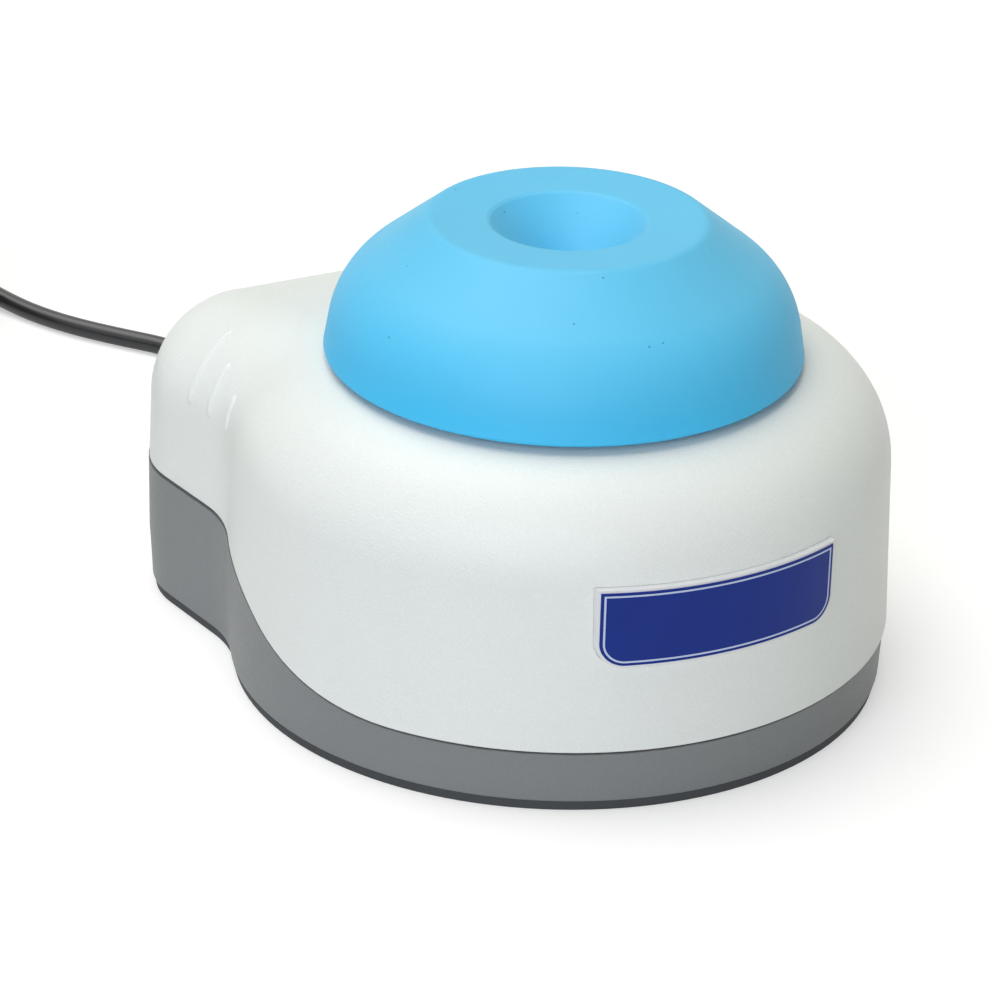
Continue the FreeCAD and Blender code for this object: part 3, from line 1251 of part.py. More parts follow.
def lead_and_adapter():
    """Strain relief, lead, coil, tie and the plug-in adapter."""
    relief = turned("strain_relief", [
        ("relief_bore", "relief_inner"), ("relief_flange_radius", "relief_inner"),
        ("relief_flange_radius", "relief_inner_face"), ("relief_barrel_radius", "relief_inner_face"),
        ("relief_barrel_radius", "0"), ("relief_flange_radius", "0"),
        ("relief_flange_radius", "relief_flange"), ("relief_root_radius", "relief_flange"),
        ("relief_tip_radius", "relief_length"), ("relief_bore", "relief_length")])
    relief.Placement.Rotation = FreeCAD.Rotation(Vector(1, 0, 0), -90)
    place(relief, "0", "back_wall", "exit_height")

    radius = number("lead_radius")
    height = number("exit_height")
    outlet = number("back_wall") + number("relief_length")
    start = Vector(0, number("board_back"), height)
    straight = Vector(0, outlet + 2 * radius, height)
    arrival = coil_place(0.0)
    approach = arrival - coil_way(0.0) * number("coil_approach")
    route = [start, straight] + [Vector(*point) for point in LEAD_ROUTE] + [approach, arrival]
    solid_feature("lead", tube("lead", rounded_route(route), radius))

    turns = number("coil_all_turns")
    coil = tube("lead coil", winding(coil_place, 0.0, turns, 0.25), radius)
    solid_feature("lead_coil", coil)
    steps = int(turns * 48)
    points = [coil_place(turns * step / steps) for step in range(steps + 1)]
    print(f"lead coil: least gap to itself {least_gap(points, 12) - 2 * radius:.2f} mm")

    leave = coil_place(turns)
    run = number("adapter_run") / 3
    bend = leave + coil_way(turns) * run
    entry = Vector(bend.x, bend.y - 2 * run, number("adapter_height") / 2)
    droop = entry + Vector(0, run, 0)
    solid_feature("lead_end", tube("lead end", rounded_route([leave, bend, droop, entry]), radius))

    inner = number("coil_inner") - radius - number("tie_clearance")
    outer = number("coil_radius") + radius + number("tie_clearance")
    low = number("coil_z") - radius - number("tie_clearance")
    high = number("coil_top") + radius + number("tie_clearance")
    sheet, width = number("tie_thickness"), number("tie_width")
    wide, tall = outer - inner, high - low
    corner = Vector(inner - sheet, -width / 2, low - sheet)
    band = Part.makeBox(wide + 2 * sheet, width, tall + 2 * sheet, corner)
    window = Part.makeBox(wide, 2 * width, tall, Vector(inner, -width, low))
    tie = solid_feature("coil_tie", band.cut(window))
    tie.Placement = FreeCAD.Placement(Vector(number("coil_x"), number("coil_y"), 0),
                                      FreeCAD.Rotation(UP, number("tie_angle")))

    face = entry.y - number("adapter_nub")
    body = doc.addObject("PartDesign::Body", "adapter_shell")
    block = body.newObject("PartDesign::AdditiveBox", "adapter_block")
    bind(block, Length="adapter_width", Width="adapter_length", Height="adapter_height")
    doc.recompute()
    round_edges(body, "adapter_block_round", "adapter_round", lambda shape, edge: True)
    body.Placement.Base = Vector(entry.x - number("adapter_width") / 2, face - number("adapter_length"), 0)
    nub = doc.addObject("Part::Cone", "adapter_nub_cone")
    bind(nub, Radius1="adapter_nub_radius", Radius2="adapter_nub_tip", Height="adapter_nub")
    nub.Placement = FreeCAD.Placement(Vector(entry.x, face, entry.z), FreeCAD.Rotation(Vector(1, 0, 0), -90))
    fuse("adapter_case", body, nub)
    blades = []
    for side in (1, -1):
        blade = doc.addObject("Part::Box", f"blade_{side + 1}")
        bind(blade, Length="blade_thickness", Width="blade_length", Height="blade_width")
        blade_x = entry.x + side * number("blade_pitch") / 2 - number("blade_thickness") / 2
        blade_y = face - number("adapter_length") - number("blade_length")
        blade.Placement.Base = Vector(blade_x, blade_y, entry.z - number("blade_width") / 2)
        blades.append(blade)
    group("adapter_blades", blades)


PIECES = [
    "top_cover", "base_shell", "rubber_sole", "badge_plate", "badge_film", "ballast_plate", "ballast_screws",
    "case_screws", "guide_posts", "post_clips", "return_springs", "slide_bushes", "motor_plate", "motor_can",
    "motor_cap", "motor_terminals", "motor_screws", "motor_shaft", "eccentric", "counterweight", "set_screw",
    "bearing_inner_race", "bearing_balls", "bearing_outer_race", "bearing_clip", "head_hub", "mixing_head",
    "splash_seal", "switch_bracket", "bracket_screws", "touch_switch", "switch_plunger", "circuit_board",
    "board_terminals", "board_capacitor", "board_screws", "strain_relief", "lead", "lead_coil", "lead_end",
    "coil_tie", "adapter_case", "adapter_blades",
]


def export_pieces():
    """Check every object and write each piece under its own name."""
    doc.recompute()
    for feature in doc.Objects:
        if "Invalid" in feature.State or "Error" in feature.State:
            raise RuntimeError(f"{feature.Label} failed: {feature.State}")
    os.makedirs("parts", exist_ok=True)
    for label in PIECES:
        piece = doc.getObjectsByLabel(label)[0]
        shape = piece.Shape
        if shape.isNull() or not shape.isValid() or not shape.Solids:
            raise RuntimeError(f"{label} has no valid solid")
        shape.exportStep(f"parts/{label}.step")
        print(f"{label}: {len(shape.Solids)} solid(s), {shape.Volume / 1000:.2f} cm3")


top_cover()
base_shell()
rubber_sole()
badge()
fasteners()
ballast()
carriage_guides()
motor()
crank()
head()
touch_switch()
circuit()
lead_and_adapter()
export_pieces()
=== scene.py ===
"""Looks of a touch-start vortex mixer: satin two-tone body, soft blue cup head, black lead with adapter.

Metres, +Z up, origin on the drive axis at the floor; the badge faces -Y and the lead leaves at +Y.
"""
import json
import math

import bpy
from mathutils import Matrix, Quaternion, Vector


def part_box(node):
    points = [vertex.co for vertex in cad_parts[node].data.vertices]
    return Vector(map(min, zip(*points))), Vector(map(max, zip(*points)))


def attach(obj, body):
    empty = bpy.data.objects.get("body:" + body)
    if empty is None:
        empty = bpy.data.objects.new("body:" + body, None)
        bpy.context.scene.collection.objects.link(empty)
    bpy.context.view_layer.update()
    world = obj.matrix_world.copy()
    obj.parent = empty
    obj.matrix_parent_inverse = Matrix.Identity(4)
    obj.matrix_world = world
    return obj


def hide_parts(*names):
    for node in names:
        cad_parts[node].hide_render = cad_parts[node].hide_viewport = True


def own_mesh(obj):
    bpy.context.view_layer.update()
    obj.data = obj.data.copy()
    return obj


MM = 0.001

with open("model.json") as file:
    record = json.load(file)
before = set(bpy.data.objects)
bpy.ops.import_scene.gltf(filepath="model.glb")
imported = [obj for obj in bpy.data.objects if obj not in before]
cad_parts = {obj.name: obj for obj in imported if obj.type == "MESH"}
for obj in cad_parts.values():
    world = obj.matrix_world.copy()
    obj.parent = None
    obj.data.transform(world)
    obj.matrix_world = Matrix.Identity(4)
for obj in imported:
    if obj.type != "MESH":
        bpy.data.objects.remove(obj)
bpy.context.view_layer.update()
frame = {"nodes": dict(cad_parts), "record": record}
record = frame["record"]
nodes = frame["nodes"]

# The photograph's view point: a long lens from the front left, looking down, slightly rolled.
CAMERA_PLACE = Vector((-311.4, -555.0, 331.6)) * MM
CAMERA_AIM = Vector((-10.7, 0.4, 29.8)) * MM
CAMERA_LENS = 155.4
CAMERA_ROLL = math.radians(1.54)
CAMERA_NEAREST = 10.0 * MM

# The parting line between cover and base, in millimetres: level, two arcs up to the tail, level. Under it a
# painted shadow line, standing in for the shade in the seam, is dark at first and then fades out.
SEAM_LOW = 10.8
SEAM_HIGH = 23.8
SEAM_RUN = 62.0
SEAM_SHADOW_DARK = 0.42
SEAM_SHADOW_END = 0.70

# The lead, as it is laid in the part's source: along the floor to a coil of four layers.
LEAD_RADIUS = 1.75 * MM
LEAD_TUCK = 3.0 * MM
COIL_CENTRE = Vector((-61.0, 185.0, 0.0)) * MM
COIL_RADIUS = 26.0 * MM
COIL_PITCH = 4.0 * MM
COIL_LAYER = 4.0 * MM
COIL_LOW = 2.85 * MM
COIL_TURNS = 2.612
COIL_LEGS = 4
COIL_CLIMB = 0.5
COIL_ENTRY = math.radians(18.4)
COIL_APPROACH = 7.5 * MM
POINTS_PER_TURN = 24
LEAD_ROUTE = [
    (-0.3, 92.0, 14.6),
    (-0.8, 102.0, 9.4),
    (-1.6, 113.0, 3.4),
    (-3.4, 125.0, 1.75),
    (-8.2, 138.0, 1.75),
    (-15.4, 147.0, 1.75),
    (-21.4, 155.6, 1.75),
    (-25.6, 164.0, 1.75),
    (-28.4, 171.2, 2.1),
    (-30.6, 178.0, 2.7),
]

# How squarely a face looks along an axis, or past it, and how near counts as touching.
FACING = 0.9
SIDE_ON = 0.7
TOUCHING = 0.1 * MM

# Strain relief: a flange at the back wall and a tapered sleeve with flex grooves.
RELIEF_LENGTH = 16.0 * MM
RELIEF_FLANGE = 1.4 * MM
RELIEF_FLANGE_EDGE = 0.5 * MM
RELIEF_ROOT = 4.0 * MM
RELIEF_TIP = 2.7 * MM
RELIEF_OVERLAP = 0.4 * MM
FLEX_FIRST = 3.0 * MM
FLEX_PITCH = 2.1 * MM
FLEX_WIDTH = 0.8 * MM
FLEX_DEPTH = 0.6 * MM
FLEX_COUNT = 6
FLEX_EDGE = 0.15 * MM

# Adapter: a rounded case with a parting groove and grip grooves on both sides, and a ribbed lead entry.
ADAPTER_CORNER = 4.0 * MM
ADAPTER_GROOVE = 0.5 * MM
ADAPTER_EDGE = 0.12 * MM
GRIP_FIRST = 6.0 * MM
GRIP_PITCH = 2.4 * MM
GRIP_WIDTH = 1.0 * MM
GRIP_DEPTH = 0.45 * MM
GRIP_COUNT = 4
GRIP_REACH = 6.5 * MM
ENTRY_LENGTH = 8.0 * MM
ENTRY_ROOT = 4.0 * MM
ENTRY_TIP = 2.6 * MM
ENTRY_OVERLAP = 1.0 * MM
ENTRY_FIRST = 1.2 * MM
ENTRY_PITCH = 1.9 * MM
ENTRY_WIDTH = 0.8 * MM
ENTRY_DEPTH = 0.55 * MM
ENTRY_COUNT = 3

# Plug blades.
BLADE_THICKNESS = 1.5 * MM
BLADE_TIP = 1.6 * MM
BLADE_HOLE_RADIUS = 1.5 * MM
BLADE_HOLE_FROM_TIP = 4.0 * MM
BLADE_EDGE = 0.2 * MM

# The strap round the coil.
TIE_ANGLE = math.radians(250.0)
TIE_CLEARANCE = 0.25 * MM
TIE_SHEET = 0.8 * MM
TIE_WIDTH = 5.0 * MM
TIE_EDGE = 0.35 * MM

# Shoulder ribs of the tail: their planes, ends and section.
RIB_COUNT = 3
RIB_BACK = 36.6 * MM
RIB_PITCH = 6.3 * MM
RIB_LOW = 40.2 * MM
RIB_TOP = 50.4 * MM
RIB_STEP = 2.8 * MM
RIB_RADIUS = 0.9 * MM
RIB_SUNK = 0.42 * MM
# Points along a rib: steps past its lower end, shares of its length and steps past its top. At both ends it
# sinks into the wall by the second figure.
RIB_FOOT = [(-0.9 * MM, 1.05 * MM), (-0.4 * MM, 0.8 * MM), (0.0, 0.55 * MM)]
RIB_SHARES = (0.12, 0.3, 0.5, 0.7, 0.9)
RIB_HEAD = [(0.0, RIB_SUNK), (0.3 * MM, 0.62 * MM), (0.6 * MM, 0.85 * MM), (0.9 * MM, 1.1 * MM)]
# The wall is felt from far outside, and a little behind each rib's plane.
RIB_FEEL_FROM = 80.0 * MM
RIB_FEEL_BEHIND = 0.9 * MM

# Return springs under the carriage, on a ring of three posts.
SPRING_RING = 24.0 * MM
SPRING_ANGLES = [math.radians(angle) for angle in (30.0, 150.0, 270.0)]
SPRING_MEAN = 3.4 * MM
SPRING_WIRE = 0.45 * MM
SPRING_TURNS = 6
SPRING_STEPS = 32

# The rubber of the head and the painted sheen that lightens its top, and the keyline of the badge.
HEAD_DEEP = (0.056, 0.53, 0.90)
HEAD_PAINTED_SHEEN = (0.135, 0.58, 0.875)
KEYLINE_COLOUR = (0.54, 0.61, 0.80, 1.0)
KEYLINE_CORNER = 3.85 * MM
KEYLINE_INSET = 0.6 * MM
KEYLINE_HALF_WIDTH = 0.15 * MM

# Light: a dim tent, a soft key overhead and a cooler soft fill from the front left.
TENT_MEAN = 0.19
TENT_COLOUR = (1.0, 0.985, 0.82, 1.0)
TENT_SLOPE = Vector((0.12, -0.07, -0.08))
KEY_WAY = Vector((-0.17, 0.24, 0.955))
KEY_ENERGY = 2.15
KEY_COLOUR = (1.0, 1.0, 0.955)
FILL_WAY = Vector((-0.66, -0.69, 0.31))
FILL_ENERGY = 1.88
FILL_COLOUR = (0.87, 0.91, 1.0)
LAMP_SPREAD = math.radians(55)
FLOOR_SIZE = 14.0
FLOOR_SHADE = 0.64
FLOOR_LIFT = 0.45
BLACK = (0.0, 0.0, 0.0)
WHITE = (1.0, 1.0, 1.0)


def set_camera():
    """The long lens of the photograph, with no shift."""
    bpy.ops.object.camera_add(location=CAMERA_PLACE)
    camera = bpy.context.object
    camera.name = "photo_camera"
    look = (CAMERA_AIM - CAMERA_PLACE).to_track_quat("-Z", "Y")
    camera.rotation_mode = "QUATERNION"
    camera.rotation_quaternion = look @ Quaternion((0, 0, 1), CAMERA_ROLL)
    camera.data.lens = CAMERA_LENS
    camera.data.clip_start = CAMERA_NEAREST
    bpy.context.scene.camera = camera


def deselect_all():
    """Operators act on what is selected, so every piece starts from nothing selected."""
    if bpy.context.mode != "OBJECT":
        bpy.ops.object.mode_set(mode="OBJECT")
    bpy.ops.object.select_all(action="DESELECT")


def pick(piece):
    """Select one piece alone and make it the active one."""
    deselect_all()
    piece.select_set(True)
    bpy.context.view_layer.objects.active = piece


def settle():
    """Put the selected pieces' place, turn and size into their meshes."""
    bpy.ops.object.transform_apply(location=True, rotation=True, scale=True)


def copy_of(piece):
    """A copy with a mesh of its own."""
    other = piece.copy()
    other.data = piece.data.copy()
    bpy.context.scene.collection.objects.link(other)
    return other


def round_tube(name, points, radius, order, rings, steps):
    """A NURBS curve along its points, drawn as a round tube with closed ends."""
    curve = bpy.data.curves.new(name, "CURVE")
    curve.dimensions = "3D"
    curve.bevel_depth = 1.0
    curve.bevel_resolution = rings
    curve.resolution_u = steps
    curve.use_fill_caps = True
    spline = curve.splines.new("NURBS")
    spline.points.add(len(points) - 1)
    for point, place in zip(spline.points, points):
        point.co = (*place, 1)
        point.radius = radius
    spline.order_u = order
    spline.use_endpoint_u = True
    piece = bpy.data.objects.new(name, curve)
    bpy.context.scene.collection.objects.link(piece)
    return piece


def coil_place(turn):
    """A point of the coil: in and out in four layers, climbing in the half turn at each reversal."""
    leg = min(int(turn / COIL_TURNS), COIL_LEGS - 1)
    share = turn / COIL_TURNS - leg
    inward = share if leg % 2 == 0 else 1 - share
    radius = COIL_RADIUS - COIL_PITCH * COIL_TURNS * inward
    height = COIL_LOW
    for change in range(1, COIL_LEGS):
        climb = min(max((turn - change * COIL_TURNS) / COIL_CLIMB + 0.5, 0.0), 1.0)
        height += COIL_LAYER * climb * climb * (3 - 2 * climb)
    angle = COIL_ENTRY + 2 * math.pi * turn
    return COIL_CENTRE + Vector((radius * math.cos(angle), radius * math.sin(angle), height))


def coil_way(turn):
    """The direction of the coil at one turn, taken over a short stretch inside it."""
    stretch = 1e-4
    start = min(turn, COIL_LEGS * COIL_TURNS - stretch)
    return (coil_place(start + stretch) - coil_place(start)).normalized()


def lay_lead():
    """One lead from the strain relief along the floor, round its coil and into the adapter."""
    sleeve_low, sleeve_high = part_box("strain_relief")
    nub_low, nub_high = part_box("adapter_case")
    exit_height = (sleeve_low.z + sleeve_high.z) / 2
    leave = Vector((0, sleeve_high.y - LEAD_TUCK, exit_height))
    straight = Vector((0, sleeve_high.y + 2 * LEAD_RADIUS, exit_height))
    turns = COIL_LEGS * COIL_TURNS
    approach = coil_place(0.0) - coil_way(0.0) * COIL_APPROACH
    steps = round(turns * POINTS_PER_TURN)
    coil = [coil_place(turns * step / steps) for step in range(steps + 1)]
    run = (coil[-1].y - nub_high.y) / 3
    bend = coil[-1] + coil_way(turns) * run
    entry = Vector((bend.x, nub_high.y - LEAD_TUCK, (nub_low.z + nub_high.z) / 2))
    droop = Vector((bend.x, nub_high.y + run, entry.z))
    route = [leave, straight] + [Vector(point) * MM for point in LEAD_ROUTE] + [approach]
    route += coil + [bend, droop, entry]
    lead = round_tube("lead_cable", route, LEAD_RADIUS, order=3, rings=5, steps=6)
    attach(lead, "housing")
    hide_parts("lead", "lead_coil", "lead_end")
    return lead, leave


class Value:
    """A shader socket that can stand in Python sums and comparisons."""

    def __init__(self, bench, socket):
        self.bench = bench
        self.socket = socket

    def math(self, operation, *values):
        return self.bench.node("ShaderNodeMath", {"operation": operation}, dict(enumerate(values)))

    def __add__(self, other):
        return self.math("ADD", self, other)

    def __sub__(self, other):
        return self.math("SUBTRACT", self, other)

    def __rsub__(self, other):
        return self.math("SUBTRACT", other, self)

    def __mul__(self, other):
        return self.math("MULTIPLY", self, other)

    def __truediv__(self, other):
        return self.math("DIVIDE", self, other)

    def __rtruediv__(self, other):
        return self.math("DIVIDE", other, self)

    def __abs__(self):
        return self.math("ABSOLUTE", self)

    def __lt__(self, other):
        return self.math("LESS_THAN", self, other)

    def __gt__(self, other):
        return self.math("GREATER_THAN", self, other)

    __radd__ = __add__
    __rmul__ = __mul__

    def at_least(self, other):
        return self.math("MAXIMUM", self, other)

    def at_most(self, other):
        return self.math("MINIMUM", self, other)

    def root(self):
        return self.math("SQRT", self)

    def fraction(self):
        return self.math("FRACT", self)


class NodeBench:
    """A node tree that nodes are added to, each in one call."""

    def __init__(self, tree):
        self.tree = tree

    def node(self, kind, settings=None, inputs=None, output=0):
        """Add a node: its settings first, then values or links for its sockets."""
        made = self.tree.nodes.new(kind)
        for key, setting in (settings or {}).items():
            if key == "stops":
                self.set_stops(made.color_ramp, setting)
            else:
                setattr(made, key, setting)
        for key, given in (inputs or {}).items():
            self.feed(self.find(made.inputs, key), given)
        return Value(self, self.find(made.outputs, output))

    @staticmethod
    def find(sockets, key):
        """A socket by its number, or by its identifier, which is its own where names repeat."""
        if key is None:
            return None
        if isinstance(key, int):
            return sockets[key]
        return next(socket for socket in sockets if key in (socket.identifier, socket.name))

    def feed(self, socket, given):
        """Link a value to a socket, or set the socket to a plain number or colour."""
        if isinstance(given, Value):
            self.tree.links.new(given.socket, socket)
        else:
            socket.default_value = given

    @staticmethod
    def set_stops(ramp, stops):
        """Give a colour ramp its stops, as positions and colours."""
        while len(ramp.elements) < len(stops):
            ramp.elements.new(1.0)
        for element, (position, colour) in zip(ramp.elements, stops):
            element.position = position
            element.color = colour

    def outputs(self, value, *names):
        """Several outputs of the node that a value comes from."""
        sockets = value.socket.node.outputs
        return [Value(self, sockets[name]) for name in names]

    def seen_rays(self):
        """1 for rays from the camera and for mirrored or transmitted ones, else 0."""
        path = self.node("ShaderNodeLightPath")
        camera, glossy, through = self.outputs(
            path, "Is Camera Ray", "Is Glossy Ray", "Is Transmission Ray")
        return camera.at_least(glossy).at_least(through)

    def between(self, share, first, second):
        """A colour between two colours."""
        settings = {"data_type": "RGBA"}
        inputs = {"Factor_Float": share, "A_Color": first, "B_Color": second}
        return self.node("ShaderNodeMix", settings, inputs, "Result_Color")


class Finish(NodeBench):
    """One procedural material, built up from nodes on the piece's own coordinates."""

    def __init__(self, name):
        self.material = bpy.data.materials.new(name)
        self.material.use_nodes = True
        super().__init__(self.material.node_tree)
        self.shader = self.tree.nodes["Principled BSDF"]
        self.place = self.node("ShaderNodeTexCoord", output="Object")

    def set(self, **sockets):
        """Feed the shader's sockets; underscores in a name stand for spaces."""
        for name, given in sockets.items():
            self.feed(self.shader.inputs[name.replace("_", " ")], given)
        return self.material

    def noise(self, grain, detail=2.0, place=None):
        """Cloudy noise whose patches are about one grain across."""
        inputs = {"Vector": place or self.place, "Scale": 1 / grain, "Detail": detail}
        return self.node("ShaderNodeTexNoise", {}, inputs, "Fac")

    def cells(self, size, output="Distance"):
        """Scattered cells of about one size: the distance to each one's middle, or its own colour."""
        return self.node("ShaderNodeTexVoronoi", {}, {"Vector": self.place, "Scale": 1 / size}, output)

    def ramp(self, value, stops):
        """A value read off a ramp of grey stops."""
        greys = [(position, (grey, grey, grey, 1.0)) for position, grey in stops]
        return self.node("ShaderNodeValToRGB", {"stops": greys}, {"Fac": value})

    def stretched(self, x, y, z):
        """The piece's coordinates, drawn out along an axis by a small factor."""
        inputs = {"Vector": self.place, "Scale": (x, y, z)}
        return self.node("ShaderNodeMapping", {}, inputs)

    def axes(self):
        """The piece's X, Y and Z as three values."""
        split = self.node("ShaderNodeSeparateXYZ", {}, {"Vector": self.place})
        return self.outputs(split, "X", "Y", "Z")

    def relief(self, height, depth, strength):
        """A normal that follows a height between 0 and 1, as deep as given."""
        return self.node("ShaderNodeBump", {}, {"Height": height, "Distance": depth, "Strength": strength})


def shade(colour, factor=1.0):
    """A colour made lighter or darker, opaque."""
    return tuple(min(1.0, channel * factor) for channel in colour[:3]) + (1.0,)


def moulded_plastic(name, colour, roughness, texture, depth, cloud=0.03, painted_glint=0.3, ior=1.45, seam=None):
    """Spark-textured plastic: fine pits, glossy flecks with painted glints, faint cloudy shading, a painted
    shadow line under a seam.
    """
    finish = Finish(name)
    grain = finish.noise(texture)
    pits = finish.cells(1.6 * texture)
    clouds = finish.noise(18 * MM, detail=3.0)
    wear = finish.noise(3 * MM, detail=4.0)
    glossy_flecks_painted_glints = finish.ramp(finish.noise(0.6 * texture, detail=1.0), [(0.56, 0.0), (0.72, 1.0)])
    tone = finish.between(clouds, shade(colour, 1 - cloud), shade(colour, 1 + cloud))
    # Painted glints: the flecks also lighten the colour, standing in for light glinting off them; their lower
    # roughness is real.
    tone = finish.between(glossy_flecks_painted_glints * painted_glint, tone, shade(colour, 1.18))
    if seam:
        # Painted shadow line: the colour darkens just under the parting line, where the seam between cover
        # and base lies in shade.
        painted_seam_shadow = finish.ramp(seam(finish) + (wear - 0.5) * 0.25, [(SEAM_SHADOW_DARK, 1.0), (SEAM_SHADOW_END, 0.0)])
        tone = finish.between(painted_seam_shadow * 0.92, tone, shade(colour, 0.12))
    return finish.set(
        Base_Color=tone,
        Roughness=roughness + (grain - 0.5) * 0.16 + (wear - 0.5) * 0.08 - glossy_flecks_painted_glints * 0.14,
        Normal=finish.relief(grain * 0.6 + pits * 0.6, depth, strength=0.8),
        IOR=ior,
    )


def below_parting_line(finish):
    """How far a point lies under the parting line, in millimetres."""
    y, z = [axis / MM for axis in finish.axes()[1:]]
    run, rise = SEAM_RUN / 2, (SEAM_HIGH - SEAM_LOW) / 2
    radius = (run * run + rise * rise) / (2 * rise)
    front = (y + run).at_least(0.0).at_most(run)
    back = (run - y).at_least(0.0).at_most(run)
    climb = (radius * radius - back * back).root() - (radius * radius - front * front).root()
    return climb + SEAM_LOW + rise - z


def soft_rubber(name, node, colour, painted_top_sheen, roughness, speck_share):
    """Silicone-like rubber: cloudy tone, a painted sheen that lightens it towards the top, a few dark specks
    from the mould.
    """
    finish = Finish(name)
    low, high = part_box(node)
    painted_sheen_start, painted_sheen_full = 0.10, 0.72
    speck_spacing, speck_size = 2.4 * MM, 0.085
    clouds = finish.noise(9 * MM, detail=4.0)
    dust = finish.noise(0.45 * MM, detail=3.0)
    height = (finish.axes()[2] - low.z) / (high.z - low.z) + (clouds - 0.5) * 0.12
    # Painted sheen: the colour lightens towards the top, standing in for the broad reflection of light on the
    # upper head.
    painted_sheen_share = finish.ramp(height, [(painted_sheen_start, 0.0), (painted_sheen_full, 1.0)])
    own_colour = finish.cells(speck_spacing, output="Color")
    drawn_lot = finish.node("ShaderNodeSeparateColor", {}, {"Color": own_colour})
    specks = (finish.cells(speck_spacing) < speck_size) * (drawn_lot < speck_share)
    tone = finish.between(painted_sheen_share, shade(colour), shade(painted_top_sheen))
    tone = finish.between(clouds * 0.10 + dust * 0.10, tone, shade(colour, 0.75))
    tone = finish.between(specks * 0.6, tone, shade(colour, 0.3))
    return finish.set(
        Base_Color=tone,
        Roughness=roughness + (dust - 0.5) * 0.16 + (clouds - 0.5) * 0.08,
        Normal=finish.relief(dust * 0.7 + clouds * 0.3, 0.05 * MM, strength=0.5),
        IOR=1.4,
    )


def drawn_metal(name, colour, roughness, along=(1.0, 1.0, 0.03)):
    """Turned or drawn metal with fine lines along one axis."""
    finish = Finish(name)
    lines = finish.noise(0.12 * MM, detail=3.0, place=finish.stretched(*along))
    tarnish = finish.noise(4 * MM, detail=4.0)
    tone = finish.between(lines * 0.5 + tarnish * 0.5, shade(colour, 0.86), shade(colour, 1.08))
    return finish.set(
        Base_Color=tone,
        Metallic=1.0,
        Roughness=roughness + (lines - 0.5) * 0.16 + (tarnish - 0.5) * 0.10,
        Normal=finish.relief(lines, 0.008 * MM, strength=0.4),
    )


def painted_iron(name, colour):
    """Stoved paint over a cast or sawn weight."""
    finish = Finish(name)
    peel = finish.noise(0.9 * MM, detail=3.0)
    clouds = finish.noise(7 * MM, detail=3.0)
    tone = finish.between(clouds, shade(colour, 0.88), shade(colour, 1.10))
    return finish.set(
        Base_Color=tone,
        Roughness=0.5 + (peel - 0.5) * 0.2,
        Normal=finish.relief(peel, 0.05 * MM, strength=0.4),
    )


def cable_jacket(name, colour):
    """Extruded black jacket: shiny, with faint streaks and fingerprints."""
    finish = Finish(name)
    smear = finish.noise(6 * MM, detail=4.0)
    fine = finish.noise(0.35 * MM)
    tone = finish.between(smear, shade(colour, 0.7), shade(colour, 1.5))
    return finish.set(
        Base_Color=tone,
        Roughness=0.30 + (smear - 0.5) * 0.14 + (fine - 0.5) * 0.06,
        Normal=finish.relief(fine, 0.02 * MM, strength=0.25),
        IOR=1.5,
    )


def glossy_skin(name, colour):
    """Smooth moulded gloss with slight haze."""
    finish = Finish(name)
    haze = finish.noise(5 * MM, detail=4.0)
    tone = finish.between(haze, shade(colour, 0.96), shade(colour, 1.03))
    return finish.set(
        Base_Color=tone,
        Roughness=0.24 + (haze - 0.5) * 0.12,
        Coat_Weight=0.3,
        Coat_Roughness=0.12,
    )


def board_laminate(name, colour):
    """Green board with a faint glass weave, and lighter tracks on its upper face."""
    finish = Finish(name)
    x, _, z = finish.axes()
    weave_scale = 0.31 / MM
    track_pitch, track_share, face_depth = 3.2 * MM, 0.30, 0.1 * MM
    weave = finish.node(
        "ShaderNodeTexWave", {"bands_direction": "X"}, {"Vector": finish.place, "Scale": weave_scale})
    lanes = (x / track_pitch + finish.noise(12 * MM) * 0.8).fraction()
    tracks = (lanes < track_share) * (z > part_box("circuit_board")[1].z - face_depth)
    tone = finish.between(tracks, shade(colour, 0.9), shade(colour, 1.7))
    return finish.set(
        Base_Color=tone,
        Roughness=0.42 - tracks * 0.08,
        Normal=finish.relief(weave, 0.01 * MM, strength=0.3),
        Coat_Weight=0.2,
    )


def badge_print(name, colour):
    """Blue film with a pale keyline that follows its outline: square at the top, rounded below."""
    finish = Finish(name)
    low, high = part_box("badge_film")
    x, _, z = finish.axes()
    half_width, half_height = high.x, (high.z - low.z) / 2
    flat_width, flat_height = half_width - KEYLINE_CORNER, half_height - KEYLINE_CORNER
    across = abs(x)
    down = (low.z + half_height) - z
    corner_x = (across - flat_width).at_least(0.0)
    corner_z = (down - flat_height).at_least(0.0)
    rounded = KEYLINE_CORNER - (corner_x * corner_x + corner_z * corner_z).root()
    straight = (half_width - across).at_most(half_height - abs(down))
    # Outside the two lower corners the rounded depth is put out of reach.
    depth = straight.at_most(rounded + (down < flat_height) + (across < flat_width))
    keyline = abs(depth - KEYLINE_INSET) < KEYLINE_HALF_WIDTH
    haze = finish.noise(6 * MM, detail=4.0)
    tone = finish.between(haze, shade(colour, 0.92), shade(colour, 1.06))
    tone = finish.between(keyline, tone, KEYLINE_COLOUR)
    return finish.set(
        Base_Color=tone,
        Roughness=0.34 + (haze - 0.5) * 0.10,
        IOR=1.22,
    )


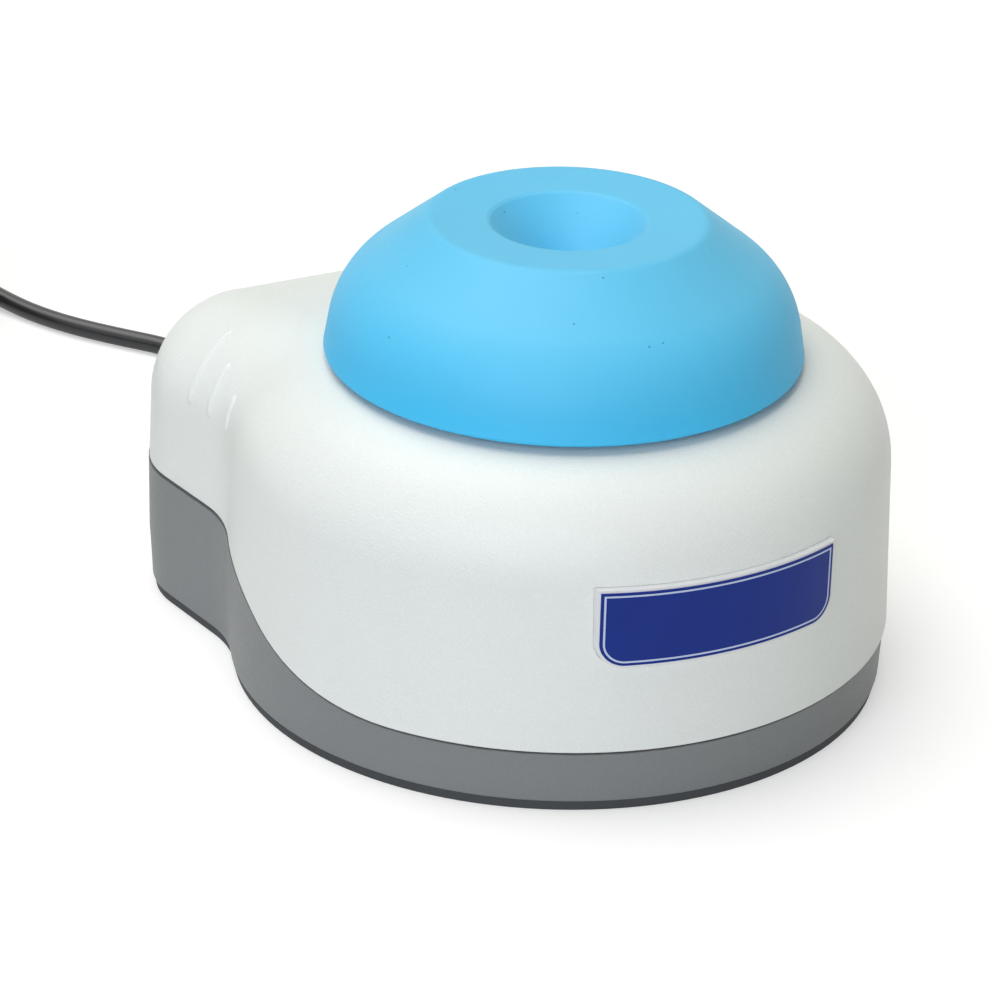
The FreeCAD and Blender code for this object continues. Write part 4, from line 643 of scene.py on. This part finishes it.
def make_finishes():
    """One material for each slot of the record."""
    colours = {entry["slot"]: entry["base_color"] for entry in record["materials"]}
    return {
        "cover": moulded_plastic(
            "satin_white", colours["cover"], roughness=0.42, texture=0.27 * MM, depth=0.08 * MM,
            cloud=0.012, painted_glint=0.65),
        "base": moulded_plastic(
            "satin_grey", colours["base"], roughness=0.5, texture=0.32 * MM, depth=0.10 * MM,
            painted_glint=0.6, ior=1.36, seam=below_parting_line),
        "sole": soft_rubber(
            "sole_rubber", "rubber_sole", colours["sole"], painted_top_sheen=colours["sole"],
            roughness=0.66, speck_share=0.0),
        "badge": glossy_skin("badge_plastic", shade(colours["badge"], 0.9)),
        "film": badge_print("badge_film_blue", colours["film"]),
        "head": soft_rubber(
            "head_rubber", "mixing_head", HEAD_DEEP, painted_top_sheen=HEAD_PAINTED_SHEEN, roughness=0.5, speck_share=0.12),
        "hub": moulded_plastic(
            "hub_plastic", colours["hub"], roughness=0.5, texture=0.5 * MM, depth=0.04 * MM),
        "black_rubber": cable_jacket("lead_jacket", colours["black_rubber"]),
        "black_plastic": moulded_plastic(
            "black_moulding", colours["black_plastic"], roughness=0.45, texture=0.35 * MM,
            depth=0.05 * MM, cloud=0.08),
        "steel": drawn_metal("bright_steel", colours["steel"], roughness=0.30),
        "ballast_steel": painted_iron("ballast_paint", colours["ballast_steel"]),
        "brass": drawn_metal("plated_brass", colours["brass"], roughness=0.28, along=(1.0, 0.05, 1.0)),
        "board": board_laminate("board_green", colours["board"]),
        "sleeve": glossy_skin("capacitor_sleeve", colours["sleeve"]),
    }


def dress(piece, material):
    """Give a piece one material."""
    piece.data.materials.clear()
    piece.data.materials.append(material)


def dress_nodes(finishes):
    """Every node of the frame takes the finish of its slot."""
    for entry in record["subparts"]:
        dress(nodes[entry["node"]], finishes[entry["material_slot"]])


def apply_modifier(piece, kind, **settings):
    """Add a modifier with its settings and apply it."""
    modifier = piece.modifiers.new(kind.lower(), kind)
    for key, setting in settings.items():
        setattr(modifier, key, setting)
    bpy.context.view_layer.objects.active = piece
    bpy.ops.object.modifier_apply(modifier=modifier.name)


def break_edges(piece, width, segments):
    """Round the sharp edges of a piece."""
    apply_modifier(piece, "BEVEL", width=width, segments=segments, limit_method="ANGLE")


def block(name, low, high):
    """A cube primitive brought to the size and place of two corners."""
    deselect_all()
    bpy.ops.mesh.primitive_cube_add(size=1, location=(low + high) / 2)
    piece = bpy.context.object
    piece.name = name
    piece.scale = high - low
    settle()
    return piece


def turned_about_y(name, radius, tip_radius, start, end, x, z):
    """A cone or cylinder primitive lying along +Y."""
    deselect_all()
    bpy.ops.mesh.primitive_cone_add(
        vertices=64, radius1=radius, radius2=tip_radius, depth=end - start,
        location=(x, (start + end) / 2, z), rotation=(-math.pi / 2, 0, 0))
    piece = bpy.context.object
    piece.name = name
    settle()
    return piece


def edit(piece):
    """Edit mode on one piece, with nothing selected and faces as the way to select."""
    pick(piece)
    bpy.ops.object.mode_set(mode="EDIT")
    bpy.ops.mesh.select_mode(type="FACE")
    bpy.ops.mesh.select_all(action="DESELECT")


def select_faces(piece, chosen):
    """Select the faces that a test on centre and normal picks; stays in edit mode."""
    bpy.ops.object.mode_set(mode="OBJECT")
    for face in piece.data.polygons:
        face.select = chosen(face.center, face.normal)
    bpy.ops.object.mode_set(mode="EDIT")


def face_outward():
    """Turn all the normals of the mesh in edit mode outward."""
    bpy.ops.mesh.select_all(action="SELECT")
    bpy.ops.mesh.normals_make_consistent(inside=False)


def row_of_bands(first, pitch, width, count):
    """Evenly spaced bands along an axis, each as its two edges."""
    return [(first + step * pitch, first + step * pitch + width) for step in range(count)]


def in_bands(place, bands):
    """Whether a place along an axis lies in one of the bands."""
    return any(low < place < high for low, high in bands)


def slice_at(axis, places):
    """Cut the whole mesh across one axis at each place, keeping both sides."""
    normal = Vector([float(index == axis) for index in range(3)])
    for place in places:
        bpy.ops.mesh.select_all(action="SELECT")
        bpy.ops.mesh.bisect(plane_co=normal * place, plane_no=normal)


def slice_bands(axis, bands):
    """Cut the mesh at both edges of each band."""
    slice_at(axis, [edge for band in bands for edge in band])


def press_in(depth):
    """Push the selected faces straight in, with walls round them."""
    bpy.ops.mesh.inset(thickness=0.0, depth=-depth, use_boundary=True)


def sink_bands(piece, axis, bands, depth):
    """Press grooves all round, into the faces whose centres lie in the bands along one axis."""
    slice_bands(axis, bands)
    select_faces(piece, lambda centre, normal: in_bands(centre[axis], bands) and abs(normal[axis]) < SIDE_ON)
    press_in(depth)


def join(name, *parts):
    """Several meshes as one piece."""
    deselect_all()
    for part in parts:
        part.select_set(True)
    bpy.context.view_layer.objects.active = parts[0]
    bpy.ops.object.join()
    parts[0].name = name
    return parts[0]


def finish_piece(piece, body, slot, finishes, *replaced, angle=35):
    """Smooth the piece, and set it on its body with its finish, in place of the nodes it replaces."""
    pick(piece)
    bpy.ops.object.shade_smooth_by_angle(angle=math.radians(angle))
    dress(piece, finishes[slot])
    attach(piece, body)
    if replaced:
        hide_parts(*replaced)
    return piece


def strain_relief(finishes):
    """Tapered sleeve with flex grooves on a round flange at the back wall."""
    low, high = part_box("strain_relief")
    middle = (low.z + high.z) / 2
    flange_radius = (high.x - low.x) / 2
    wall = high.y - RELIEF_LENGTH
    flange_face = wall + RELIEF_FLANGE
    flange = turned_about_y(
        "relief_flange", flange_radius, flange_radius, low.y, flange_face, x=0, z=middle)
    break_edges(flange, RELIEF_FLANGE_EDGE, segments=3)
    sleeve = turned_about_y(
        "relief_sleeve", RELIEF_ROOT, RELIEF_TIP, flange_face - RELIEF_OVERLAP, high.y, x=0, z=middle)
    edit(sleeve)
    grooves = row_of_bands(wall + FLEX_FIRST, FLEX_PITCH, FLEX_WIDTH, FLEX_COUNT)
    sink_bands(sleeve, 1, grooves, FLEX_DEPTH)
    deselect_all()
    break_edges(sleeve, FLEX_EDGE, segments=2)
    piece = join("lead_sleeve", flange, sleeve)
    return finish_piece(piece, "housing", "black_rubber", finishes, "strain_relief")


def adapter(finishes):
    """Plug-in adapter: two rounded halves with a parting groove, grip bands and a ribbed lead entry."""
    low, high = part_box("adapter_case")
    middle = (low + high) / 2
    case_end = high.y - ENTRY_LENGTH
    case = block("adapter_halves", low, Vector((high.x, case_end, high.z)))
    apply_modifier(case, "BEVEL", width=ADAPTER_CORNER, segments=6)
    edit(case)
    parting = (middle.z - ADAPTER_GROOVE / 2, middle.z + ADAPTER_GROOVE / 2)
    sink_bands(case, 2, [parting], ADAPTER_GROOVE)
    grips = row_of_bands(low.y + GRIP_FIRST, GRIP_PITCH, GRIP_WIDTH, GRIP_COUNT)
    slice_bands(1, grips)
    slice_at(2, [middle.z - GRIP_REACH, middle.z + GRIP_REACH])

    def gripped(centre, normal):
        on_a_side = abs(normal.x) > FACING and abs(centre.z - middle.z) < GRIP_REACH
        return on_a_side and in_bands(centre.y, grips)
    select_faces(case, gripped)
    press_in(GRIP_DEPTH)
    deselect_all()
    break_edges(case, ADAPTER_EDGE, segments=2)
    nub = turned_about_y(
        "adapter_entry", ENTRY_ROOT, ENTRY_TIP, case_end - ENTRY_OVERLAP, high.y, middle.x, middle.z)
    edit(nub)
    grooves = row_of_bands(case_end + ENTRY_FIRST, ENTRY_PITCH, ENTRY_WIDTH, ENTRY_COUNT)
    sink_bands(nub, 1, grooves, ENTRY_DEPTH)
    piece = join("adapter_body", case, nub)
    return finish_piece(piece, "housing", "black_plastic", finishes, "adapter_case")


def blades(finishes):
    """Two plug blades with rounded tips and a hole near the end of each."""
    low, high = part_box("adapter_blades")
    blade = block("blade", low, Vector((low.x + BLADE_THICKNESS, high.y, high.z)))
    edit(blade)
    bpy.ops.mesh.select_mode(type="EDGE")
    bpy.ops.object.mode_set(mode="OBJECT")
    for edge in blade.data.edges:
        ends = [blade.data.vertices[index].co for index in edge.vertices]
        along_x = abs(ends[0].x - ends[1].x) > BLADE_THICKNESS / 2
        edge.select = along_x and all(abs(end.y - low.y) < TOUCHING for end in ends)
    bpy.ops.object.mode_set(mode="EDIT")
    bpy.ops.mesh.bevel(offset=BLADE_TIP, segments=5, affect="EDGES")
    deselect_all()
    hole_place = (low.x + BLADE_THICKNESS / 2, low.y + BLADE_HOLE_FROM_TIP, (low.z + high.z) / 2)
    bpy.ops.mesh.primitive_cylinder_add(
        vertices=32, radius=BLADE_HOLE_RADIUS, depth=4 * BLADE_THICKNESS,
        location=hole_place, rotation=(0, math.pi / 2, 0))
    drill = bpy.context.object
    apply_modifier(blade, "BOOLEAN", object=drill, operation="DIFFERENCE")
    bpy.data.objects.remove(drill)
    break_edges(blade, BLADE_EDGE, segments=2)
    other = copy_of(blade)
    pick(other)
    other.location.x = high.x - low.x - BLADE_THICKNESS
    settle()
    piece = join("plug_blades", blade, other)
    return finish_piece(piece, "housing", "brass", finishes, "adapter_blades")


def coil_tie(finishes):
    """Flat strap round the bundle of turns, with softened edges."""
    low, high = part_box("coil_tie")
    slack = LEAD_RADIUS + TIE_CLEARANCE + TIE_SHEET
    inner = COIL_RADIUS - COIL_PITCH * COIL_TURNS - slack
    outer = COIL_RADIUS + slack
    strap = block(
        "coil_strap", Vector((inner, -TIE_WIDTH / 2, low.z)), Vector((outer, TIE_WIDTH / 2, high.z)))
    edit(strap)
    select_faces(strap, lambda centre, normal: abs(normal.y) > FACING)
    bpy.ops.mesh.inset(thickness=TIE_SHEET)
    bpy.ops.mesh.bridge_edge_loops()
    face_outward()
    deselect_all()
    break_edges(strap, TIE_EDGE, segments=3)
    strap.location = COIL_CENTRE
    strap.rotation_euler = (0, 0, TIE_ANGLE)
    pick(strap)
    settle()
    return finish_piece(strap, "housing", "black_plastic", finishes, "coil_tie")


def shoulder_ribs(finishes):
    """Soft raised ribs, three on each shoulder of the tail: round at the top, running out below."""
    cover = nodes["top_cover"]
    ribs = []
    for side in (1, -1):
        for step in range(RIB_COUNT):
            y = RIB_BACK - step * RIB_PITCH
            top = RIB_TOP - step * RIB_STEP
            line = [(RIB_LOW + past, sunk) for past, sunk in RIB_FOOT]
            line += [(RIB_LOW + (top - RIB_LOW) * share, RIB_SUNK) for share in RIB_SHARES]
            line += [(top + past, sunk) for past, sunk in RIB_HEAD]
            points = []
            for z, sunk in line:
                outside = Vector((side * RIB_FEEL_FROM, y + RIB_FEEL_BEHIND, z))
                _, place, normal, _ = cover.ray_cast(outside, Vector((-side, 0, 0)))
                place.y = y
                points.append(place - normal * sunk)
            rib = round_tube("shoulder_rib", points, RIB_RADIUS, order=4, rings=4, steps=8)
            pick(rib)
            bpy.ops.object.convert(target="MESH")
            ribs.append(bpy.context.object)
    piece = join("shoulder_ribs", *ribs)
    return finish_piece(piece, "housing", "cover", finishes, angle=60)


def return_springs(finishes):
    """Three wound return springs under the carriage."""
    low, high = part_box("return_springs")
    length = high.z - low.z
    deselect_all()
    bpy.ops.mesh.primitive_circle_add(
        vertices=16, radius=SPRING_WIRE, location=(SPRING_MEAN, 0, low.z + SPRING_WIRE),
        rotation=(math.pi / 2, 0, 0))
    first = bpy.context.object
    settle()
    apply_modifier(
        first, "SCREW", axis="Z", angle=2 * math.pi, iterations=SPRING_TURNS,
        steps=SPRING_STEPS, render_steps=SPRING_STEPS,
        screw_offset=(length - 2 * SPRING_WIRE) / SPRING_TURNS)
    edit(first)
    bpy.ops.mesh.select_mode(type="EDGE")
    bpy.ops.mesh.select_non_manifold()
    bpy.ops.mesh.fill_holes(sides=0)
    face_outward()
    deselect_all()
    springs = [first] + [copy_of(first) for _ in SPRING_ANGLES[1:]]
    for spring, angle in zip(springs, SPRING_ANGLES):
        spring.location = (SPRING_RING * math.cos(angle), SPRING_RING * math.sin(angle), 0)
        spring.select_set(True)
    bpy.context.view_layer.objects.active = first
    settle()
    piece = join("carriage_springs", *springs)
    finish_piece(piece, "housing", "steel", finishes, "return_springs", angle=60)
    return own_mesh(piece)


def lay_floor():
    """White paper sweep; the camera sees it lifted to white, and it keeps the shadow."""
    deselect_all()
    bpy.ops.mesh.primitive_plane_add(size=FLOOR_SIZE, location=(0, 0, 0))
    floor = bpy.context.object
    floor.name = "studio_floor"
    paper = Finish("studio_paper")
    lift = paper.between(paper.seen_rays(), shade(BLACK), shade(WHITE, FLOOR_LIFT))
    dress(floor, paper.set(
        Base_Color=shade(WHITE, FLOOR_SHADE),
        Roughness=1.0,
        Specular_IOR_Level=0.0,
        Emission_Color=lift,
        Emission_Strength=1.0,
    ))


def hang_surround():
    """A dim light tent round the object; the camera sees plain white behind it."""
    scene = bpy.context.scene
    scene.view_settings.view_transform = "Standard"
    world = bpy.data.worlds.new("light_tent")
    scene.world = world
    world.use_nodes = True
    world.node_tree.nodes.clear()
    tent = NodeBench(world.node_tree)
    way = tent.node("ShaderNodeTexCoord", output="Generated")
    slope = tent.node(
        "ShaderNodeVectorMath", {"operation": "DOT_PRODUCT"}, {0: way, 1: TENT_SLOPE}, "Value")
    lighting = tent.node(
        "ShaderNodeBackground", {}, {"Color": TENT_COLOUR, "Strength": slope + TENT_MEAN})
    white = tent.node("ShaderNodeBackground", {}, {"Color": shade(WHITE), "Strength": 1.0})
    mix = tent.node("ShaderNodeMixShader", {}, {0: tent.seen_rays(), 1: lighting, 2: white})
    tent.node("ShaderNodeOutputWorld", {}, {"Surface": mix}, None)


def hang_lamp(name, way, energy, colour):
    """One broad soft lamp that shines from the way given."""
    bpy.ops.object.light_add(type="SUN", location=way)
    lamp = bpy.context.object
    lamp.name = name
    lamp.data.energy = energy
    lamp.data.color = colour
    lamp.data.angle = LAMP_SPREAD
    lamp.rotation_euler = way.to_track_quat("Z", "Y").to_euler()


set_camera()
lead, lead_exit = lay_lead()
finishes = make_finishes()
dress_nodes(finishes)
dress(lead, finishes["black_rubber"])
strain_relief(finishes)
plug = adapter(finishes)
plug_blades = blades(finishes)
strap = coil_tie(finishes)
shoulder_ribs(finishes)
return_springs(finishes)
lay_floor()
hang_surround()
hang_lamp("key_light", KEY_WAY, KEY_ENERGY, KEY_COLOUR)
hang_lamp("fill_light", FILL_WAY, FILL_ENERGY, FILL_COLOUR)
